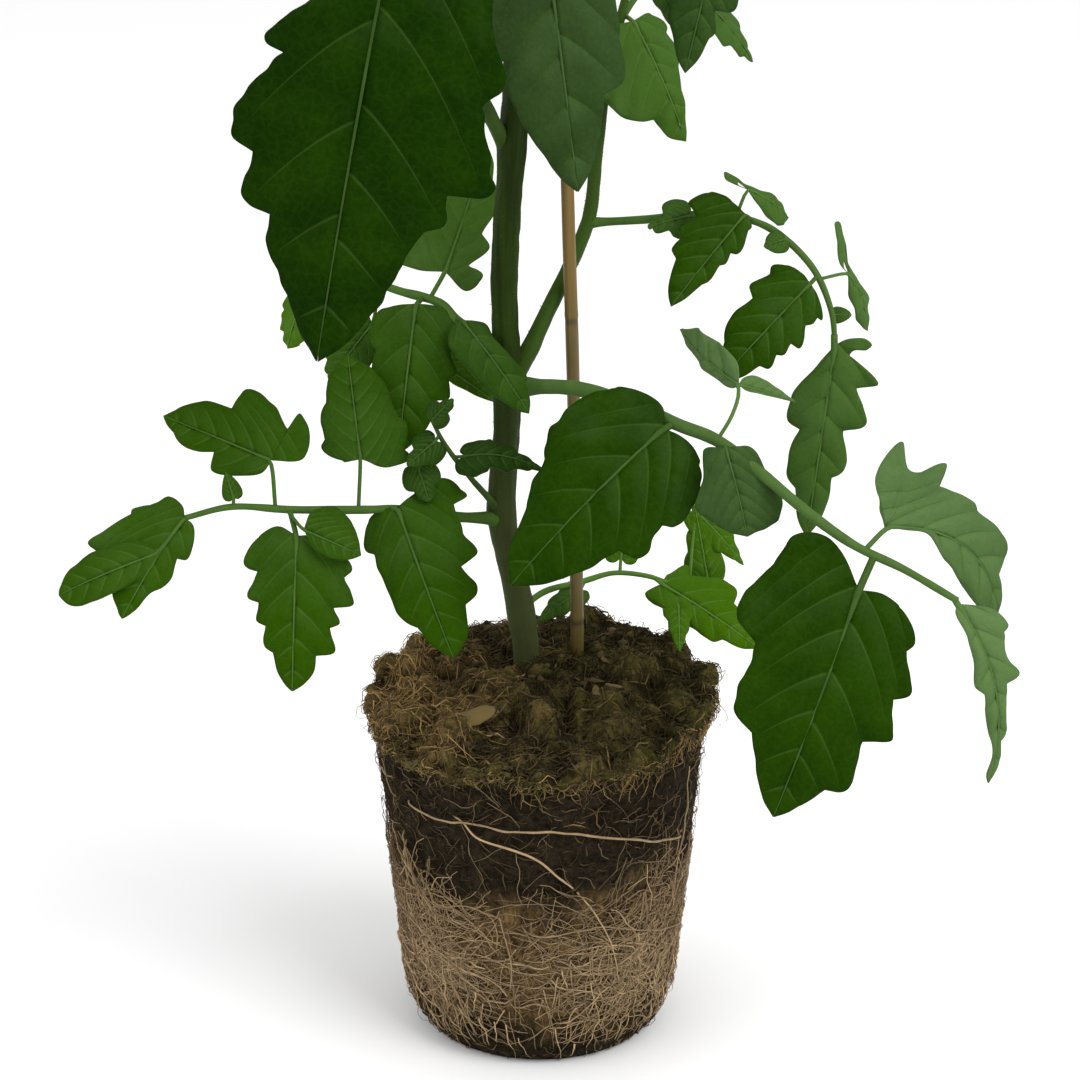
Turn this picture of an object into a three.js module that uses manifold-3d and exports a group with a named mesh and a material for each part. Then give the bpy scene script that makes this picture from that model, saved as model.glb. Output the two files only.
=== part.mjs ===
// A young tomato plant lifted out of its pot: a root ball of fibrous peat held together by a net of roots,
// a stem with one side shoot, compound leaves and a bamboo stake.
// Millimetres, +Z up. The origin is the centre of the root ball's flat underside.
import * as THREE from "three";
import { mergeVertices } from "three/addons/utils/BufferGeometryUtils.js";
import Module from "manifold-3d";

const wasm = await Module();
wasm.setup();

// ---------------------------------------------------------------- driving dimensions
const BALL_HEIGHT = 98; // of the side, up to the rim
const BALL_TOP_RADIUS = 49.4; // the pot wall's inner radius at the rim
const BALL_BASE_RADIUS = 38.4;
const FLAT_RADIUS = 33.5; // the underside is flat inside this radius
const RIM = 3; // the mossy top's edge stands this far above the side
const MOUND = 7; // how far the mossy top rises from its edge to the stem
const TILT = 0.09; // the mossy top's slope up to the back, and half as much to the right
const LUMP = 1.2; // depth of the side's hollows
const TUFT = 3; // height of the top's moss tufts
const GAP = 0.3; // kept between neighbouring nodes
const ROOT_RADIUS = 0.75;
const BLADE = 0.7; // leaf blade's thickness
const STAKE_RADIUS = 2.1;
const STEM_RADIUS = 4;

const FINISH = {
  peat: { color: 0x3b2c1c, roughness: 0.97, metalness: 0 },
  root: { color: 0xa8946c, roughness: 0.75, metalness: 0 },
  stem: { color: 0x35561c, roughness: 0.6, metalness: 0 },
  leaf: { color: 0x2c5a12, roughness: 0.55, metalness: 0 },
  bamboo: { color: 0xa1794a, roughness: 0.6, metalness: 0 },
};

const vec = (p) => new THREE.Vector3(...p);
const lerp = THREE.MathUtils.lerp;
const radians = THREE.MathUtils.degToRad;

// The same draw between 0 and 1 for the same two numbers.
function draw(seed, k) {
  const x = Math.sin(seed * 12.9898 + k * 78.233) * 43758.5453;
  return x - Math.floor(x);
}

// ---------------------------------------------------------------- solids
function solidOf(geometry) {
  const g = geometry.clone();
  g.deleteAttribute("normal");
  g.deleteAttribute("uv");
  const merged = mergeVertices(g, 1e-4);
  return new wasm.Manifold(
    new wasm.Mesh({
      numProp: 3,
      vertProperties: merged.attributes.position.array,
      triVerts: new Uint32Array(merged.index.array),
    }),
  );
}

function geometryOf(solid) {
  const mesh = solid.getMesh();
  const geometry = new THREE.BufferGeometry();
  geometry.setAttribute("position", new THREE.BufferAttribute(new Float32Array(mesh.vertProperties), 3));
  geometry.setIndex(new THREE.BufferAttribute(new Uint32Array(mesh.triVerts), 1));
  geometry.computeVertexNormals();
  return geometry;
}

function geometryFrom(points, triangles) {
  const geometry = new THREE.BufferGeometry();
  const numbers = points.flatMap((p) => [p.x, p.y, p.z]);
  geometry.setAttribute("position", new THREE.Float32BufferAttribute(numbers, 3));
  geometry.setIndex(triangles);
  return geometry;
}

// A closed tube of varying radius along a smooth curve through the points.
function limb(path, radii, sides, segments, grow = 0) {
  const curve = new THREE.CatmullRomCurve3(path.map(vec), false, "centripetal");
  const frames = curve.computeFrenetFrames(segments, false);
  const points = [];
  const triangles = [];
  for (let i = 0; i <= segments; i++) {
    const share = (i / segments) * (radii.length - 1);
    const k = Math.min(Math.floor(share), radii.length - 2);
    const radius = lerp(radii[k], radii[k + 1], share - k) + grow;
    const centre = curve.getPointAt(i / segments);
    for (let j = 0; j < sides; j++) {
      const a = (2 * Math.PI * j) / sides;
      points.push(
        centre
          .clone()
          .addScaledVector(frames.normals[i], radius * Math.cos(a))
          .addScaledVector(frames.binormals[i], radius * Math.sin(a)),
      );
    }
  }
  for (let i = 0; i < segments; i++)
    for (let j = 0; j < sides; j++) {
      const a = i * sides + j;
      const b = i * sides + ((j + 1) % sides);
      triangles.push(a, b, b + sides, a, b + sides, a + sides);
    }
  const last = segments * sides;
  for (let j = 1; j < sides - 1; j++) {
    triangles.push(0, j + 1, j);
    triangles.push(last, last + j, last + j + 1);
  }
  return geometryFrom(points, triangles);
}

// ---------------------------------------------------------------- leaf blades
// A margin is a list of points from the stalk to the tip: how far along the midrib and how far out, both as
// shares of the leaflet's length. A third number makes the point a tooth: how deep the notch after it cuts.
const NOTCH_PLACE = 0.16; // how far a notch lies along the way to the next point
const VEIN_SLANT = 0.55; // how far a side vein runs forward for each unit it runs out
const FULLNESS = 1.06; // every blade's width, against the margins given

// How far a common leaflet's margin lies from its midrib, along a side vein, as a share of the longest.
function reach(s) {
  return (0.8 + 1.6 * s) * Math.pow(1 - s, 1.15);
}

// The margin of a common leaflet: a round foot, then teeth that lean towards the tip.
function commonMargin({ width, teeth, depth, seed }, side) {
  const margin = [[-0.1, 0.2 * width], [-0.08, 0.36 * width]];
  for (let j = 0; j < teeth; j++) {
    const s = (0.86 * (j + 0.75)) / teeth;
    const slant = radians(78 - 46 * Math.pow(s, 0.8));
    const far = 0.62 * width * reach(s) * (0.92 + 0.16 * draw(seed + side, j));
    const cut = depth * (0.6 + 0.8 * draw(seed + side, j + 20));
    margin.push([s + far * Math.cos(slant), far * Math.sin(slant), cut]);
  }
  return margin;
}

// The same margin with its notches put in.
function withNotches(margin) {
  const points = [];
  margin.forEach(([u, w, cut], k) => {
    points.push([u, w]);
    const [nextU, nextW] = margin[k + 1] ?? [1, 0];
    if (cut) points.push([lerp(u, nextU, NOTCH_PLACE), lerp(w, nextW, NOTCH_PLACE) * (1 - cut)]);
  });
  return points;
}

// A leaflet's surface: the point a share u along its midrib and a share w out to the right, and its normal.
function surfaceOf(leaf) {
  const base = vec(leaf.base);
  const chord = vec(leaf.tip).sub(base);
  const length = chord.length();
  const along = chord.normalize();
  const up = vec(leaf.face);
  up.addScaledVector(along, -up.dot(along)).normalize();
  const across = new THREE.Vector3().crossVectors(along, up);
  return (u, w) => {
    const bow = 4 * Math.max(u, 0) * (1 - u);
    const slope = u > 0 ? 4 * (1 - 2 * u) : 0;
    const forward = along.clone();
    forward.addScaledVector(up, leaf.arch * slope).addScaledVector(across, leaf.bend * slope);
    forward.normalize();
    const flat = across.clone().applyAxisAngle(along, radians(leaf.twist) * (u - 0.3));
    const normal = new THREE.Vector3().crossVectors(flat, forward).normalize();
    const height = leaf.fold * Math.abs(w) - leaf.cup * w * w;
    const point = base
      .clone()
      .addScaledVector(along, length * u)
      .addScaledVector(up, leaf.arch * length * bow)
      .addScaledVector(across, leaf.bend * length * bow)
      .addScaledVector(flat, length * w * FULLNESS)
      .addScaledVector(normal, length * height);
    return { point, normal };
  };
}

// One leaf blade as a closed thin solid: a bowed midrib and two toothed margins.
function blade(leaf, surface) {
  const points = [];
  const pair = (u, w) => {
    const { point, normal } = surface(u, w);
    points.push(point.clone().addScaledVector(normal, BLADE / 2));
    points.push(point.clone().addScaledVector(normal, -BLADE / 2));
    return points.length - 2;
  };
  const rib = [];
  for (let i = 0; i <= leaf.ribs; i++) rib.push({ at: i / leaf.ribs, id: pair(i / leaf.ribs, 0) });
  const last = leaf.ribs;
  const sheet = [];
  const rim = [];
  for (const side of [1, -1]) {
    let at = 0;
    const margin = (side > 0 ? leaf.right : leaf.left) ?? commonMargin(leaf, side);
    const edge = withNotches(margin).map(([u, w]) => {
      at = Math.max(at, Math.min(u - VEIN_SLANT * w, 0.96));
      return { at, id: pair(u, side * w) };
    });
    const add = (a, b, c) => sheet.push(side > 0 ? [a, b, c] : [a, c, b]);
    let i = 0;
    let j = 0;
    while (i < last - 1 || j < edge.length - 1) {
      if (j < edge.length - 1 && (i === last - 1 || edge[j + 1].at <= rib[i + 1].at)) {
        add(rib[i].id, edge[j].id, edge[j + 1].id);
        j++;
      } else {
        add(rib[i].id, edge[j].id, rib[i + 1].id);
        i++;
      }
    }
    add(rib[i].id, edge[j].id, rib[last].id);
    rim.push(edge.map((e) => e.id));
  }
  const loop = [rib[0].id, ...rim[0], rib[last].id, ...rim[1].reverse()];
  const triangles = [];
  for (const [a, b, c] of sheet) triangles.push(a, b, c, a + 1, c + 1, b + 1);
  loop.forEach((a, k) => {
    const b = loop[(k + 1) % loop.length];
    triangles.push(a, a + 1, b + 1, a, b + 1, b);
  });
  return geometryFrom(points, triangles);
}

// ---------------------------------------------------------------- leaves
// The way a blade's upper face looks.
const FRONT = [0, -0.87, 0.5];
const UP = [0, -0.25, 1];
const LEFT = [-0.7, -0.5, 0.5];
const RIGHT = [0.7, -0.5, 0.5];
const BACK = [0.1, 0.7, 0.7];

// A leaflet: base, tip, face, and its margins or, for the common form, its width as a share of its length.
function leaflet(base, tip, face, form, more = {}) {
  const size = vec(base).distanceTo(vec(tip));
  const shape = typeof form === "number" ? { width: form } : form;
  const teeth = size > 28 ? 4 : size > 14 ? 3 : size > 9 ? 2 : 1;
  const ribs = size > 28 ? 5 : size > 14 ? 4 : 3;
  const pose = { arch: 0.07, bend: 0, fold: -0.12, cup: 0, twist: 0 };
  return { base, tip, face, teeth, ribs, depth: 0.24, ...pose, ...shape, ...more };
}

// Each leaf: the path of its stalk from the stem out, the stalk's radii, and its leaflets.
// A leaflet with a base off the stalk hangs on a small stalk of its own, which starts at the stalk's nearest
// point, or runs through the points given as by.
const LEAVES = {
  leaf_right_low: {
    path: [[-7, 5, 194], [10, -6, 197], [25, -17, 196], [38, -29, 194], [48, -36, 192], [60, -44, 185],
      [72, -52, 177], [84, -58, 170], [97, -63, 165], [111, -68, 158]],
    radii: [2.3, 1.9, 1.5, 0.9],
    leaflets: [
      leaflet([34, -31, 194], [-8, -52, 156], [-0.15, -0.85, 0.55], {
        left: [[-0.03, 0.13], [0.03, 0.25], [0.19, 0.33], [0.3, 0.33, 0.1], [0.53, 0.31, 0.2],
          [0.72, 0.19]],
        right: [[-0.07, 0.08], [-0.02, 0.26], [0.15, 0.36], [0.44, 0.31, 0.06], [0.66, 0.21, 0.04],
          [0.91, 0.1]],
      }),
      leaflet([54, -27, 205], [39, -2, 213], [0.2, -0.9, -0.2], {
        left: [[0.04, 0.06], [0.18, 0.09], [0.4, 0.11], [0.72, 0.07]],
        right: [[0.08, 0.12], [0.31, 0.2], [0.54, 0.17], [0.75, 0.15], [0.92, 0.05]],
      }, { by: [[48, -36, 192], [52, -33, 198], [54, -29, 203]] }),
      leaflet([54, -27, 205], [70, -24, 199], FRONT, {
        left: [[0.05, 0.12], [0.15, 0.19], [0.53, 0.15], [0.86, 0.05]],
        right: [[0.12, 0.05], [0.35, 0.05], [0.7, 0.03]],
      }, { by: [[54, -28, 204]] }),
      leaflet([50, -42, 192], [56, -49, 169], [0.1, -0.9, 0.4], {
        left: [[0.04, 0.25], [0.35, 0.35], [0.69, 0.46], [0.94, 0.34]],
        right: [[-0.05, 0.2], [0.26, 0.3], [0.55, 0.45], [0.79, 0.3]],
      }),
      leaflet([85, -65, 160], [62, -88, 104], [0.05, -0.9, 0.45], {
        left: [[-0.02, 0.09], [0.02, 0.2], [0.13, 0.28, 0.1], [0.34, 0.32, 0.16], [0.54, 0.31, 0.25],
          [0.81, 0.21, 0.2], [0.92, 0.08]],
        right: [[-0.1, 0.09], [-0.16, 0.19], [-0.14, 0.28], [0, 0.34], [0.29, 0.4, 0.2],
          [0.68, 0.26, 0.16], [0.86, 0.12]],
      }, { fold: -0.08 }),
      leaflet([92, -58, 175], [124, -54, 149], [0.2, -0.9, 0.35], {
        left: [[-0.12, 0.1], [-0.24, 0.21], [-0.22, 0.48], [-0.08, 0.38], [0.1, 0.47, 0.3],
          [0.39, 0.26, 0.08], [0.82, 0.18, 0.45], [0.97, 0.05]],
        right: [[0.13, 0.02], [0.23, 0.02], [0.45, 0.14], [0.67, 0.18], [0.85, 0.15]],
      }, { bend: -0.2, fold: 0.1 }),
      leaflet([111, -68, 157], [121, -73, 107], [0.3, -0.9, 0.2], {
        left: [[0.03, 0.08], [0.09, 0.16], [0.17, 0.17, 0.2], [0.36, 0.11], [0.43, 0.14, 0.5],
          [0.68, 0.05], [0.74, 0.05, 0.6], [0.95, 0.03]],
        right: [[0.03, 0.03], [0.21, 0.05], [0.32, 0.07], [0.45, 0.1, 0.25], [0.71, 0.05],
          [0.86, 0.015], [0.96, 0.02]],
      }, { fold: 0.2, bend: -0.1 }),
    ],
  },
  leaf_right_high: {
    path: [[14, 26, 236], [30, 22, 238], [45, 16, 241], [58, 11, 241], [66, 8, 238], [76, 3, 229],
      [81, -2, 218], [82, -4, 210]],
    radii: [1.3, 1.1, 0.8],
    leaflets: [
      leaflet([42, 15, 241], [30, 10, 239], FRONT, 0.75, { depth: 0.5 }),
      leaflet([57, 6, 244], [36, -10, 222], FRONT, {
        left: [[0.05, 0.1, 0.1], [0.32, 0.14, 0.25], [0.46, 0.12, 0.15], [0.67, 0.1, 0.1]],
        right: [[-0.03, 0.2], [0.02, 0.34], [0.21, 0.38, 0.25], [0.46, 0.32, 0.15], [0.63, 0.27, 0.2],
          [0.85, 0.13]],
      }),
      leaflet([58, 14, 249], [70, 20, 239], [0.5, -0.7, 0.8], {
        left: [[-0.28, -0.06], [-0.53, -0.07], [-0.56, -0.01], [-0.3, 0.07], [-0.05, 0.08],
          [0.3, 0.13], [0.72, 0.2]],
        right: [[0.1, 0.08], [0.31, 0.18], [0.71, 0.28], [0.93, 0.17]],
      }),
      leaflet([68, 5, 237], [62, 1, 236], FRONT, 0.8, { depth: 0.1 }),
      leaflet([75, -1, 226], [50, -18, 204], FRONT, {
        left: [[0.04, 0.12], [0.14, 0.22, 0.1], [0.23, 0.2, 0.15], [0.43, 0.25, 0.2], [0.57, 0.2, 0.15],
          [0.71, 0.19, 0.2]],
        right: [[-0.03, 0.15], [0.09, 0.28, 0.1], [0.34, 0.29, 0.2], [0.55, 0.25], [0.75, 0.19, 0.05],
          [0.93, 0.08]],
      }, { arch: 0.04 }),
      leaflet([86, 6, 227], [93, 16, 207], [0.6, -0.7, 0.3], {
        left: [[-0.2, -0.06], [-0.52, 0.01], [-0.7, 0.12], [-0.66, 0.18], [-0.42, 0.14], [-0.25, 0.1],
          [0.03, 0.08], [0.3, 0.12], [0.7, 0.12, 0.3]],
        right: [[0.3, 0.12], [0.7, 0.12]],
      }),
      leaflet([82, 2, 216], [87, 2, 216], FRONT, 0.9, { depth: 0 }),
      leaflet([82, -4, 209], [75, -12, 155], FRONT, {
        left: [[-0.04, 0.17, 0.6], [0.17, 0.23, 0.4], [0.39, 0.2, 0.45], [0.65, 0.12, 0.3], [0.81, 0.08]],
        right: [[0.13, 0.08], [0.29, 0.17], [0.43, 0.16, 0.3], [0.57, 0.14], [0.73, 0.12, 0.2]],
      }, { arch: 0.03 }),
    ],
  },
  leaf_left_low: {
    path: [[-13, 6, 154], [-24, -1, 157], [-39, -11, 163], [-50, -17, 165], [-69, -25, 168],
      [-85, -31, 171], [-97, -37, 170]],
    radii: [1.7, 1.3, 1.1, 0.8],
    leaflets: [
      leaflet([-40, -15, 165], [-24, -36, 128], [-0.1, -0.87, 0.5], {
        left: [[-0.06, 0.15], [-0.08, 0.3], [0.06, 0.4, 0.2], [0.27, 0.31], [0.45, 0.34, 0.3],
          [0.69, 0.26, 0.25], [0.91, 0.12]],
        right: [[-0.03, 0.12], [0.08, 0.24], [0.17, 0.26, 0.12], [0.48, 0.22], [0.72, 0.17, 0.12]],
      }),
      leaflet([-50, -14, 179], [-54, 4, 204], FRONT, {
        left: [[0, 0.14], [0.16, 0.32, 0.12], [0.5, 0.28, 0.1], [0.8, 0.18]],
        right: [[-0.1, 0.24], [-0.01, 0.42, 0.1], [0.28, 0.42, 0.1], [0.68, 0.28]],
      }),
      leaflet([-67, -32, 163], [-68, -50, 124], FRONT, {
        left: [[0, 0.15], [0.08, 0.26], [0.22, 0.34, 0.14], [0.44, 0.35, 0.3], [0.56, 0.27, 0.2],
          [0.75, 0.25, 0.4], [0.89, 0.12]],
        right: [[-0.06, 0.12], [0.01, 0.23], [0.2, 0.31, 0.26], [0.41, 0.28, 0.2], [0.56, 0.22, 0.2],
          [0.73, 0.17, 0.2], [0.91, 0.08]],
      }, { arch: 0.04 }),
      leaflet([-65, -33, 165], [-49, -37, 159], FRONT, {
        left: [[-0.02, 0.28], [0.19, 0.5], [0.56, 0.44]],
        right: [[0.3, 0.2], [0.72, 0.2]],
      }),
      leaflet([-74, -24, 182], [-104, -18, 193], [-0.1, -0.87, 0.5], {
        left: [[0.02, 0.1], [0.17, 0.2], [0.45, 0.24, 0.5], [0.62, 0.16], [0.84, 0.12, 0.08]],
        right: [[-0.24, 0.12], [-0.2, 0.33], [-0.05, 0.45, 0.35], [0.19, 0.44], [0.45, 0.45, 0.35],
          [0.72, 0.24]],
      }, { arch: 0.04 }),
      leaflet([-84, -32, 174], [-86, -31, 181], FRONT, 0.66, { depth: 0 }),
      leaflet([-97, -37, 170], [-113, -56, 148], [-0.1, -0.8, 0.6], {
        left: [[0.01, 0.07], [0.13, 0.16], [0.31, 0.19, 0.28], [0.53, 0.18], [0.71, 0.1], [0.9, 0.05]],
        right: [[-0.1, 0.09], [-0.11, 0.21], [-0.02, 0.27], [0.12, 0.41, 0.08], [0.4, 0.51],
          [0.56, 0.56, 0.4], [0.75, 0.2], [0.84, 0.18], [0.94, 0.09]],
      }),
      leaflet([-104, -46, 163], [-130, -54, 154], [-0.1, -0.8, 0.6], {
        left: [[0.02, 0.1], [0.24, 0.15], [0.47, 0.18], [0.7, 0.18], [0.85, 0.17], [0.97, 0.09]],
        right: [[0.02, 0.12], [0.23, 0.23], [0.4, 0.24], [0.62, 0.24], [0.82, 0.18], [0.95, 0.09]],
      }, { arch: 0.05 }),
    ],
  },
  leaf_left_high: {
    path: [[-8, 10, 203], [-23, 12, 211], [-28, 16, 215], [-40, 22, 217], [-54, 30, 219], [-66, 36, 216]],
    radii: [1.6, 1.3, 0.8],
    leaflets: [
      leaflet([-22, 7, 213], [-3, -10, 191], [0.1, -0.85, 0.55], {
        left: [[0.12, 0.14], [0.3, 0.12], [0.5, 0.14], [0.75, 0.14, 0.15]],
        right: [[0, 0.1], [0.11, 0.2], [0.32, 0.2], [0.6, 0.18], [0.82, 0.11]],
      }),
      leaflet([-27, 24, 222], [-15, 36, 256], [0.1, -0.9, 0.3], {
        left: [[-0.05, 0.2], [-0.03, 0.36, 0.1], [0.25, 0.3, 0.1], [0.6, 0.2, 0.1]],
        right: [[-0.08, 0.2], [0.06, 0.27, 0.45], [0.29, 0.24, 0.3], [0.7, 0.18, 0.25]],
      }),
      leaflet([-35, 13, 216], [-40, -5, 177], FRONT, {
        left: [[0, 0.16], [0.26, 0.31, 0.2], [0.44, 0.29, 0.1], [0.6, 0.27, 0.25], [0.74, 0.18]],
        right: [[0.02, 0.1], [0.06, 0.22], [0.3, 0.24, 0.1], [0.5, 0.21, 0.1], [0.69, 0.16, 0.1]],
      }, { arch: 0.04 }),
      leaflet([-66, 36, 214], [-73, 31, 197], LEFT, {
        left: [[0.1, 0.3], [0.5, 0.4, 0.1], [0.85, 0.25]],
        right: [[0.1, 0.35], [0.45, 0.5, 0.1], [0.78, 0.38, 0.2]],
      }),
      leaflet([-48, 26, 206], [-60, 16, 192], FRONT, 0.85),
      leaflet([-28, 18, 196], [-13, 21, 184], FRONT, {
        left: [[-0.1, 0.23], [0.12, 0.43], [0.49, 0.38]],
        right: [[0.15, 0.1], [0.54, 0.1]],
      }),
      leaflet([-50, 36, 222], [-58, 56, 232], BACK, 0.6),
    ],
  },
  leaf_base_right: {
    path: [[-6, 12, 123], [1, 19, 126], [13, 28, 126], [22, 32, 127], [32, 32, 126], [38, 32, 124],
      [49, 36, 121]],
    radii: [1, 0.8, 0.6],
    leaflets: [
      leaflet([12, 26, 124], [-1, 18, 117], FRONT, 0.45, { depth: 0.1 }),
      leaflet([24, 34, 131], [26, 44, 143], FRONT, 0.6),
      leaflet([36, 31, 124], [65, 24, 106], [0.2, -0.85, 0.5], {
        left: [[0, 0.1], [0.1, 0.26, 0.3], [0.42, 0.3], [0.58, 0.3, 0.3], [0.79, 0.16]],
        right: [[-0.07, 0.12], [0.23, 0.17], [0.44, 0.17], [0.66, 0.16, 0.2]],
      }),
      leaflet([50, 38, 123], [46, 48, 144], FRONT, 0.42, { depth: 0.1 }),
      leaflet([47, 46, 141], [61, 41, 126], [0.3, -0.85, 0.4], 0.42, { depth: 0.1 }),
      leaflet([41, 28, 119], [41, 14, 109], [0, -0.5, 0.9], 0.45, { depth: 0.1 }),
    ],
  },
  leaf_front: {
    path: [[-9, 8, 262], [-18, -10, 285], [-27, -34, 316], [-33, -54, 336], [-36, -65, 335]],
    radii: [2.2, 1.8, 1.3],
    leaflets: [
      leaflet([-37, -66, 334], [-57, -79, 228], [-0.1, -0.93, 0.3], {
        left: [[-0.02, 0.12], [0.02, 0.22], [0.14, 0.25], [0.3, 0.29, 0.12], [0.54, 0.3, 0.22],
          [0.63, 0.22, 0.12], [0.74, 0.15], [0.85, 0.11]],
        right: [[0.04, 0.05], [0.1, 0.1], [0.17, 0.155], [0.29, 0.24, 0.2], [0.37, 0.24],
          [0.52, 0.27, 0.14], [0.67, 0.22, 0.22], [0.74, 0.16], [0.83, 0.11]],
      }, { arch: 0.03 }),
      leaflet([-38, -48, 336], [-74, -44, 340], [-0.2, -0.4, 0.9], 0.6),
      leaflet([-25, -54, 339], [-2, -80, 348], [0.2, -0.4, 0.9], 0.6),
      leaflet([-26, -22, 314], [-44, -18, 326], [-0.2, -0.4, 0.9], 0.6),
    ],
  },
  leaf_front_right: {
    path: [[-7, 7, 288], [0, -6, 312], [5, -14, 332], [18, -20, 344], [34, -21, 338], [44, -21, 322]],
    radii: [1.9, 1.5, 1],
    leaflets: [
      leaflet([1, -18, 328], [10, -35, 261], [0.05, -0.93, 0.3], {
        left: [[-0.04, 0.12], [0, 0.24], [0.2, 0.28, 0.2], [0.42, 0.22], [0.62, 0.2, 0.25], [0.82, 0.1]],
        right: [[-0.04, 0.14], [0.06, 0.28], [0.3, 0.31], [0.46, 0.28, 0.3], [0.59, 0.2], [0.7, 0.17],
          [0.86, 0.1]],
      }, { arch: 0.03 }),
      leaflet([45, -21, 319], [38, -31, 292], FRONT, {
        left: [[0.08, 0.24], [0.37, 0.26, 0.5], [0.62, 0.16, 0.1]],
        right: [[0.1, 0.17], [0.4, 0.27], [0.77, 0.15]],
      }),
      leaflet([29, -18, 322], [37, -18, 299], FRONT, 0.4, { depth: 0.1 }),
      leaflet([30, -27, 347], [50, -46, 352], UP, 0.6),
      leaflet([14, -12, 346], [18, 8, 356], UP, 0.6),
    ],
  },
  leaf_shoot: {
    path: [[21, 32, 290], [27, 38, 298], [34, 41, 303], [42, 40, 300]],
    radii: [1.1, 0.8, 0.6],
    leaflets: [
      leaflet([26, 30, 293], [41, 24, 260], [0.2, -0.87, 0.45], {
        left: [[0, 0.15], [0.14, 0.22, 0.12], [0.4, 0.2, 0.12], [0.75, 0.09]],
        right: [[-0.03, 0.19], [0.15, 0.34], [0.35, 0.44], [0.72, 0.26, 0.35]],
      }),
      leaflet([43, 40, 299], [60, 36, 280], RIGHT, 0.6),
      leaflet([35, 44, 304], [42, 64, 308], BACK, 0.6),
    ],
  },
  shoot_left: {
    path: [[-12, 6, 157], [-21, -5, 172], [-27, -11, 183], [-30, -13, 190]],
    radii: [1.1, 0.8, 0.6],
    leaflets: [
      leaflet([-29, -13, 184], [-37, -17, 178], FRONT, 0.8),
      leaflet([-30, -13, 190], [-24, -15, 197], FRONT, 0.7),
      leaflet([-21, -9, 178], [1, -15, 176], [0, -0.6, 0.8], 0.45, { arch: 0.16 }),
      leaflet([-34, -12, 176], [-31, -16, 167], FRONT, 0.9),
    ],
  },
};

// A leaf by rule, for the crown: a stalk that rises and arches out, pairs of leaflets and one at its end.
function crownLeaf({ foot, azimuth, length, pairs, rise }) {
  const out = [Math.cos(radians(azimuth)), Math.sin(radians(azimuth)), 0];
  const cross = [-out[1], out[0], 0];
  const at = (r, z, side = 0) => foot.map((c, k) => c + out[k] * r + cross[k] * side + (k === 2 ? z : 0));
  const stalk = (t) => at(length * t, rise * Math.sin(Math.PI * 0.72 * t));
  const leaflets = [];
  for (let i = 0; i < pairs; i++) {
    const t = 0.42 + (0.44 * i) / pairs;
    const size = length * (0.4 - 0.05 * i);
    const z = rise * Math.sin(Math.PI * 0.72 * t);
    for (const side of [1, -1]) {
      const base = at(length * t + 1, z + 1, side * 3.2);
      const tip = at(length * t + size * 0.45, z - size * 0.22, side * (3 + size * 0.8));
      leaflets.push(leaflet(base, tip, [out[0] * 0.3, out[1] * 0.3, 1], 0.56, { ribs: 3 }));
    }
  }
  const end = stalk(1);
  const far = at(length * 1.5, rise * Math.sin(Math.PI * 0.72) - length * 0.22);
  leaflets.push(leaflet(end, far, [out[0] * 0.5, out[1] * 0.5, 1], 0.58, { ribs: 4 }));
  return {
    path: [0, 0.25, 0.5, 0.75, 1].map(stalk),
    radii: [length * 0.017 + 0.35, length * 0.011 + 0.3, 0.55],
    leaflets,
  };
}

const CROWN = {
  leaf_crown_1: { foot: [-4, 7, 322], azimuth: 62, length: 62, pairs: 2, rise: 34 },
  leaf_crown_2: { foot: [-5, 7, 346], azimuth: 176, length: 56, pairs: 2, rise: 32 },
  leaf_crown_3: { foot: [-5, 8, 366], azimuth: -62, length: 42, pairs: 1, rise: 30 },
  leaf_crown_4: { foot: [-5, 8, 382], azimuth: 100, length: 32, pairs: 1, rise: 26 },
  leaf_crown_5: { foot: [-5, 8, 394], azimuth: -150, length: 24, pairs: 1, rise: 22 },
  leaf_crown_6: { foot: [-5, 8, 400], azimuth: 5, length: 17, pairs: 1, rise: 18 },
};
for (const [name, rule] of Object.entries(CROWN)) LEAVES[name] = crownLeaf(rule);

// ---------------------------------------------------------------- stem and stake
const STEM = {
  path: [[-4, 12, 66], [-4, 12, 109], [-5, 11, 119], [-7.5, 10, 135], [-10.2, 9, 148], [-11, 8, 157],
    [-10.4, 8, 169], [-9.4, 8, 182], [-9.8, 8, 210], [-10, 7, 225], [-9.3, 7, 239], [-8.3, 7, 253],
    [-7, 6, 271], [-6, 6, 287], [-5, 6, 304], [-4, 6, 325], [-5, 7, 347], [-5, 8, 367], [-6, 8, 388],
    [-5, 8, 405]],
  radii: [2.4, STEM_RADIUS, STEM_RADIUS, 3.9, 3.7, 3.6, 3.6, 3.3, 2.6, 1.6, 0.7],
};
const SHOOT = {
  path: [[-9, 8, 193], [-3, 11, 203], [1, 14, 211], [10, 22, 228], [14, 26, 238], [16, 29, 256],
    [18, 30, 272], [22, 32, 291], [26, 34, 308], [28, 34, 320]],
  radii: [2.6, 2.2, 1.9, 1.6, 1.2, 0.7],
};
const STAKE = {
  path: [[12, 18, 24], [11, 16, 106], [9.6, 14, 187], [7.6, 12, 251], [6.6, 11, 290]],
  radii: [STAKE_RADIUS, STAKE_RADIUS, STAKE_RADIUS * 0.97, STAKE_RADIUS * 0.93],
};

function stemSolid(grow) {
  const main = solidOf(limb(STEM.path, STEM.radii, 10, 22, grow));
  return main.add(solidOf(limb(SHOOT.path, SHOOT.radii, 8, 10, grow)));
}

function stakeGeometry(grow) {
  return limb(STAKE.path, STAKE.radii, 9, 6, grow);
}

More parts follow.
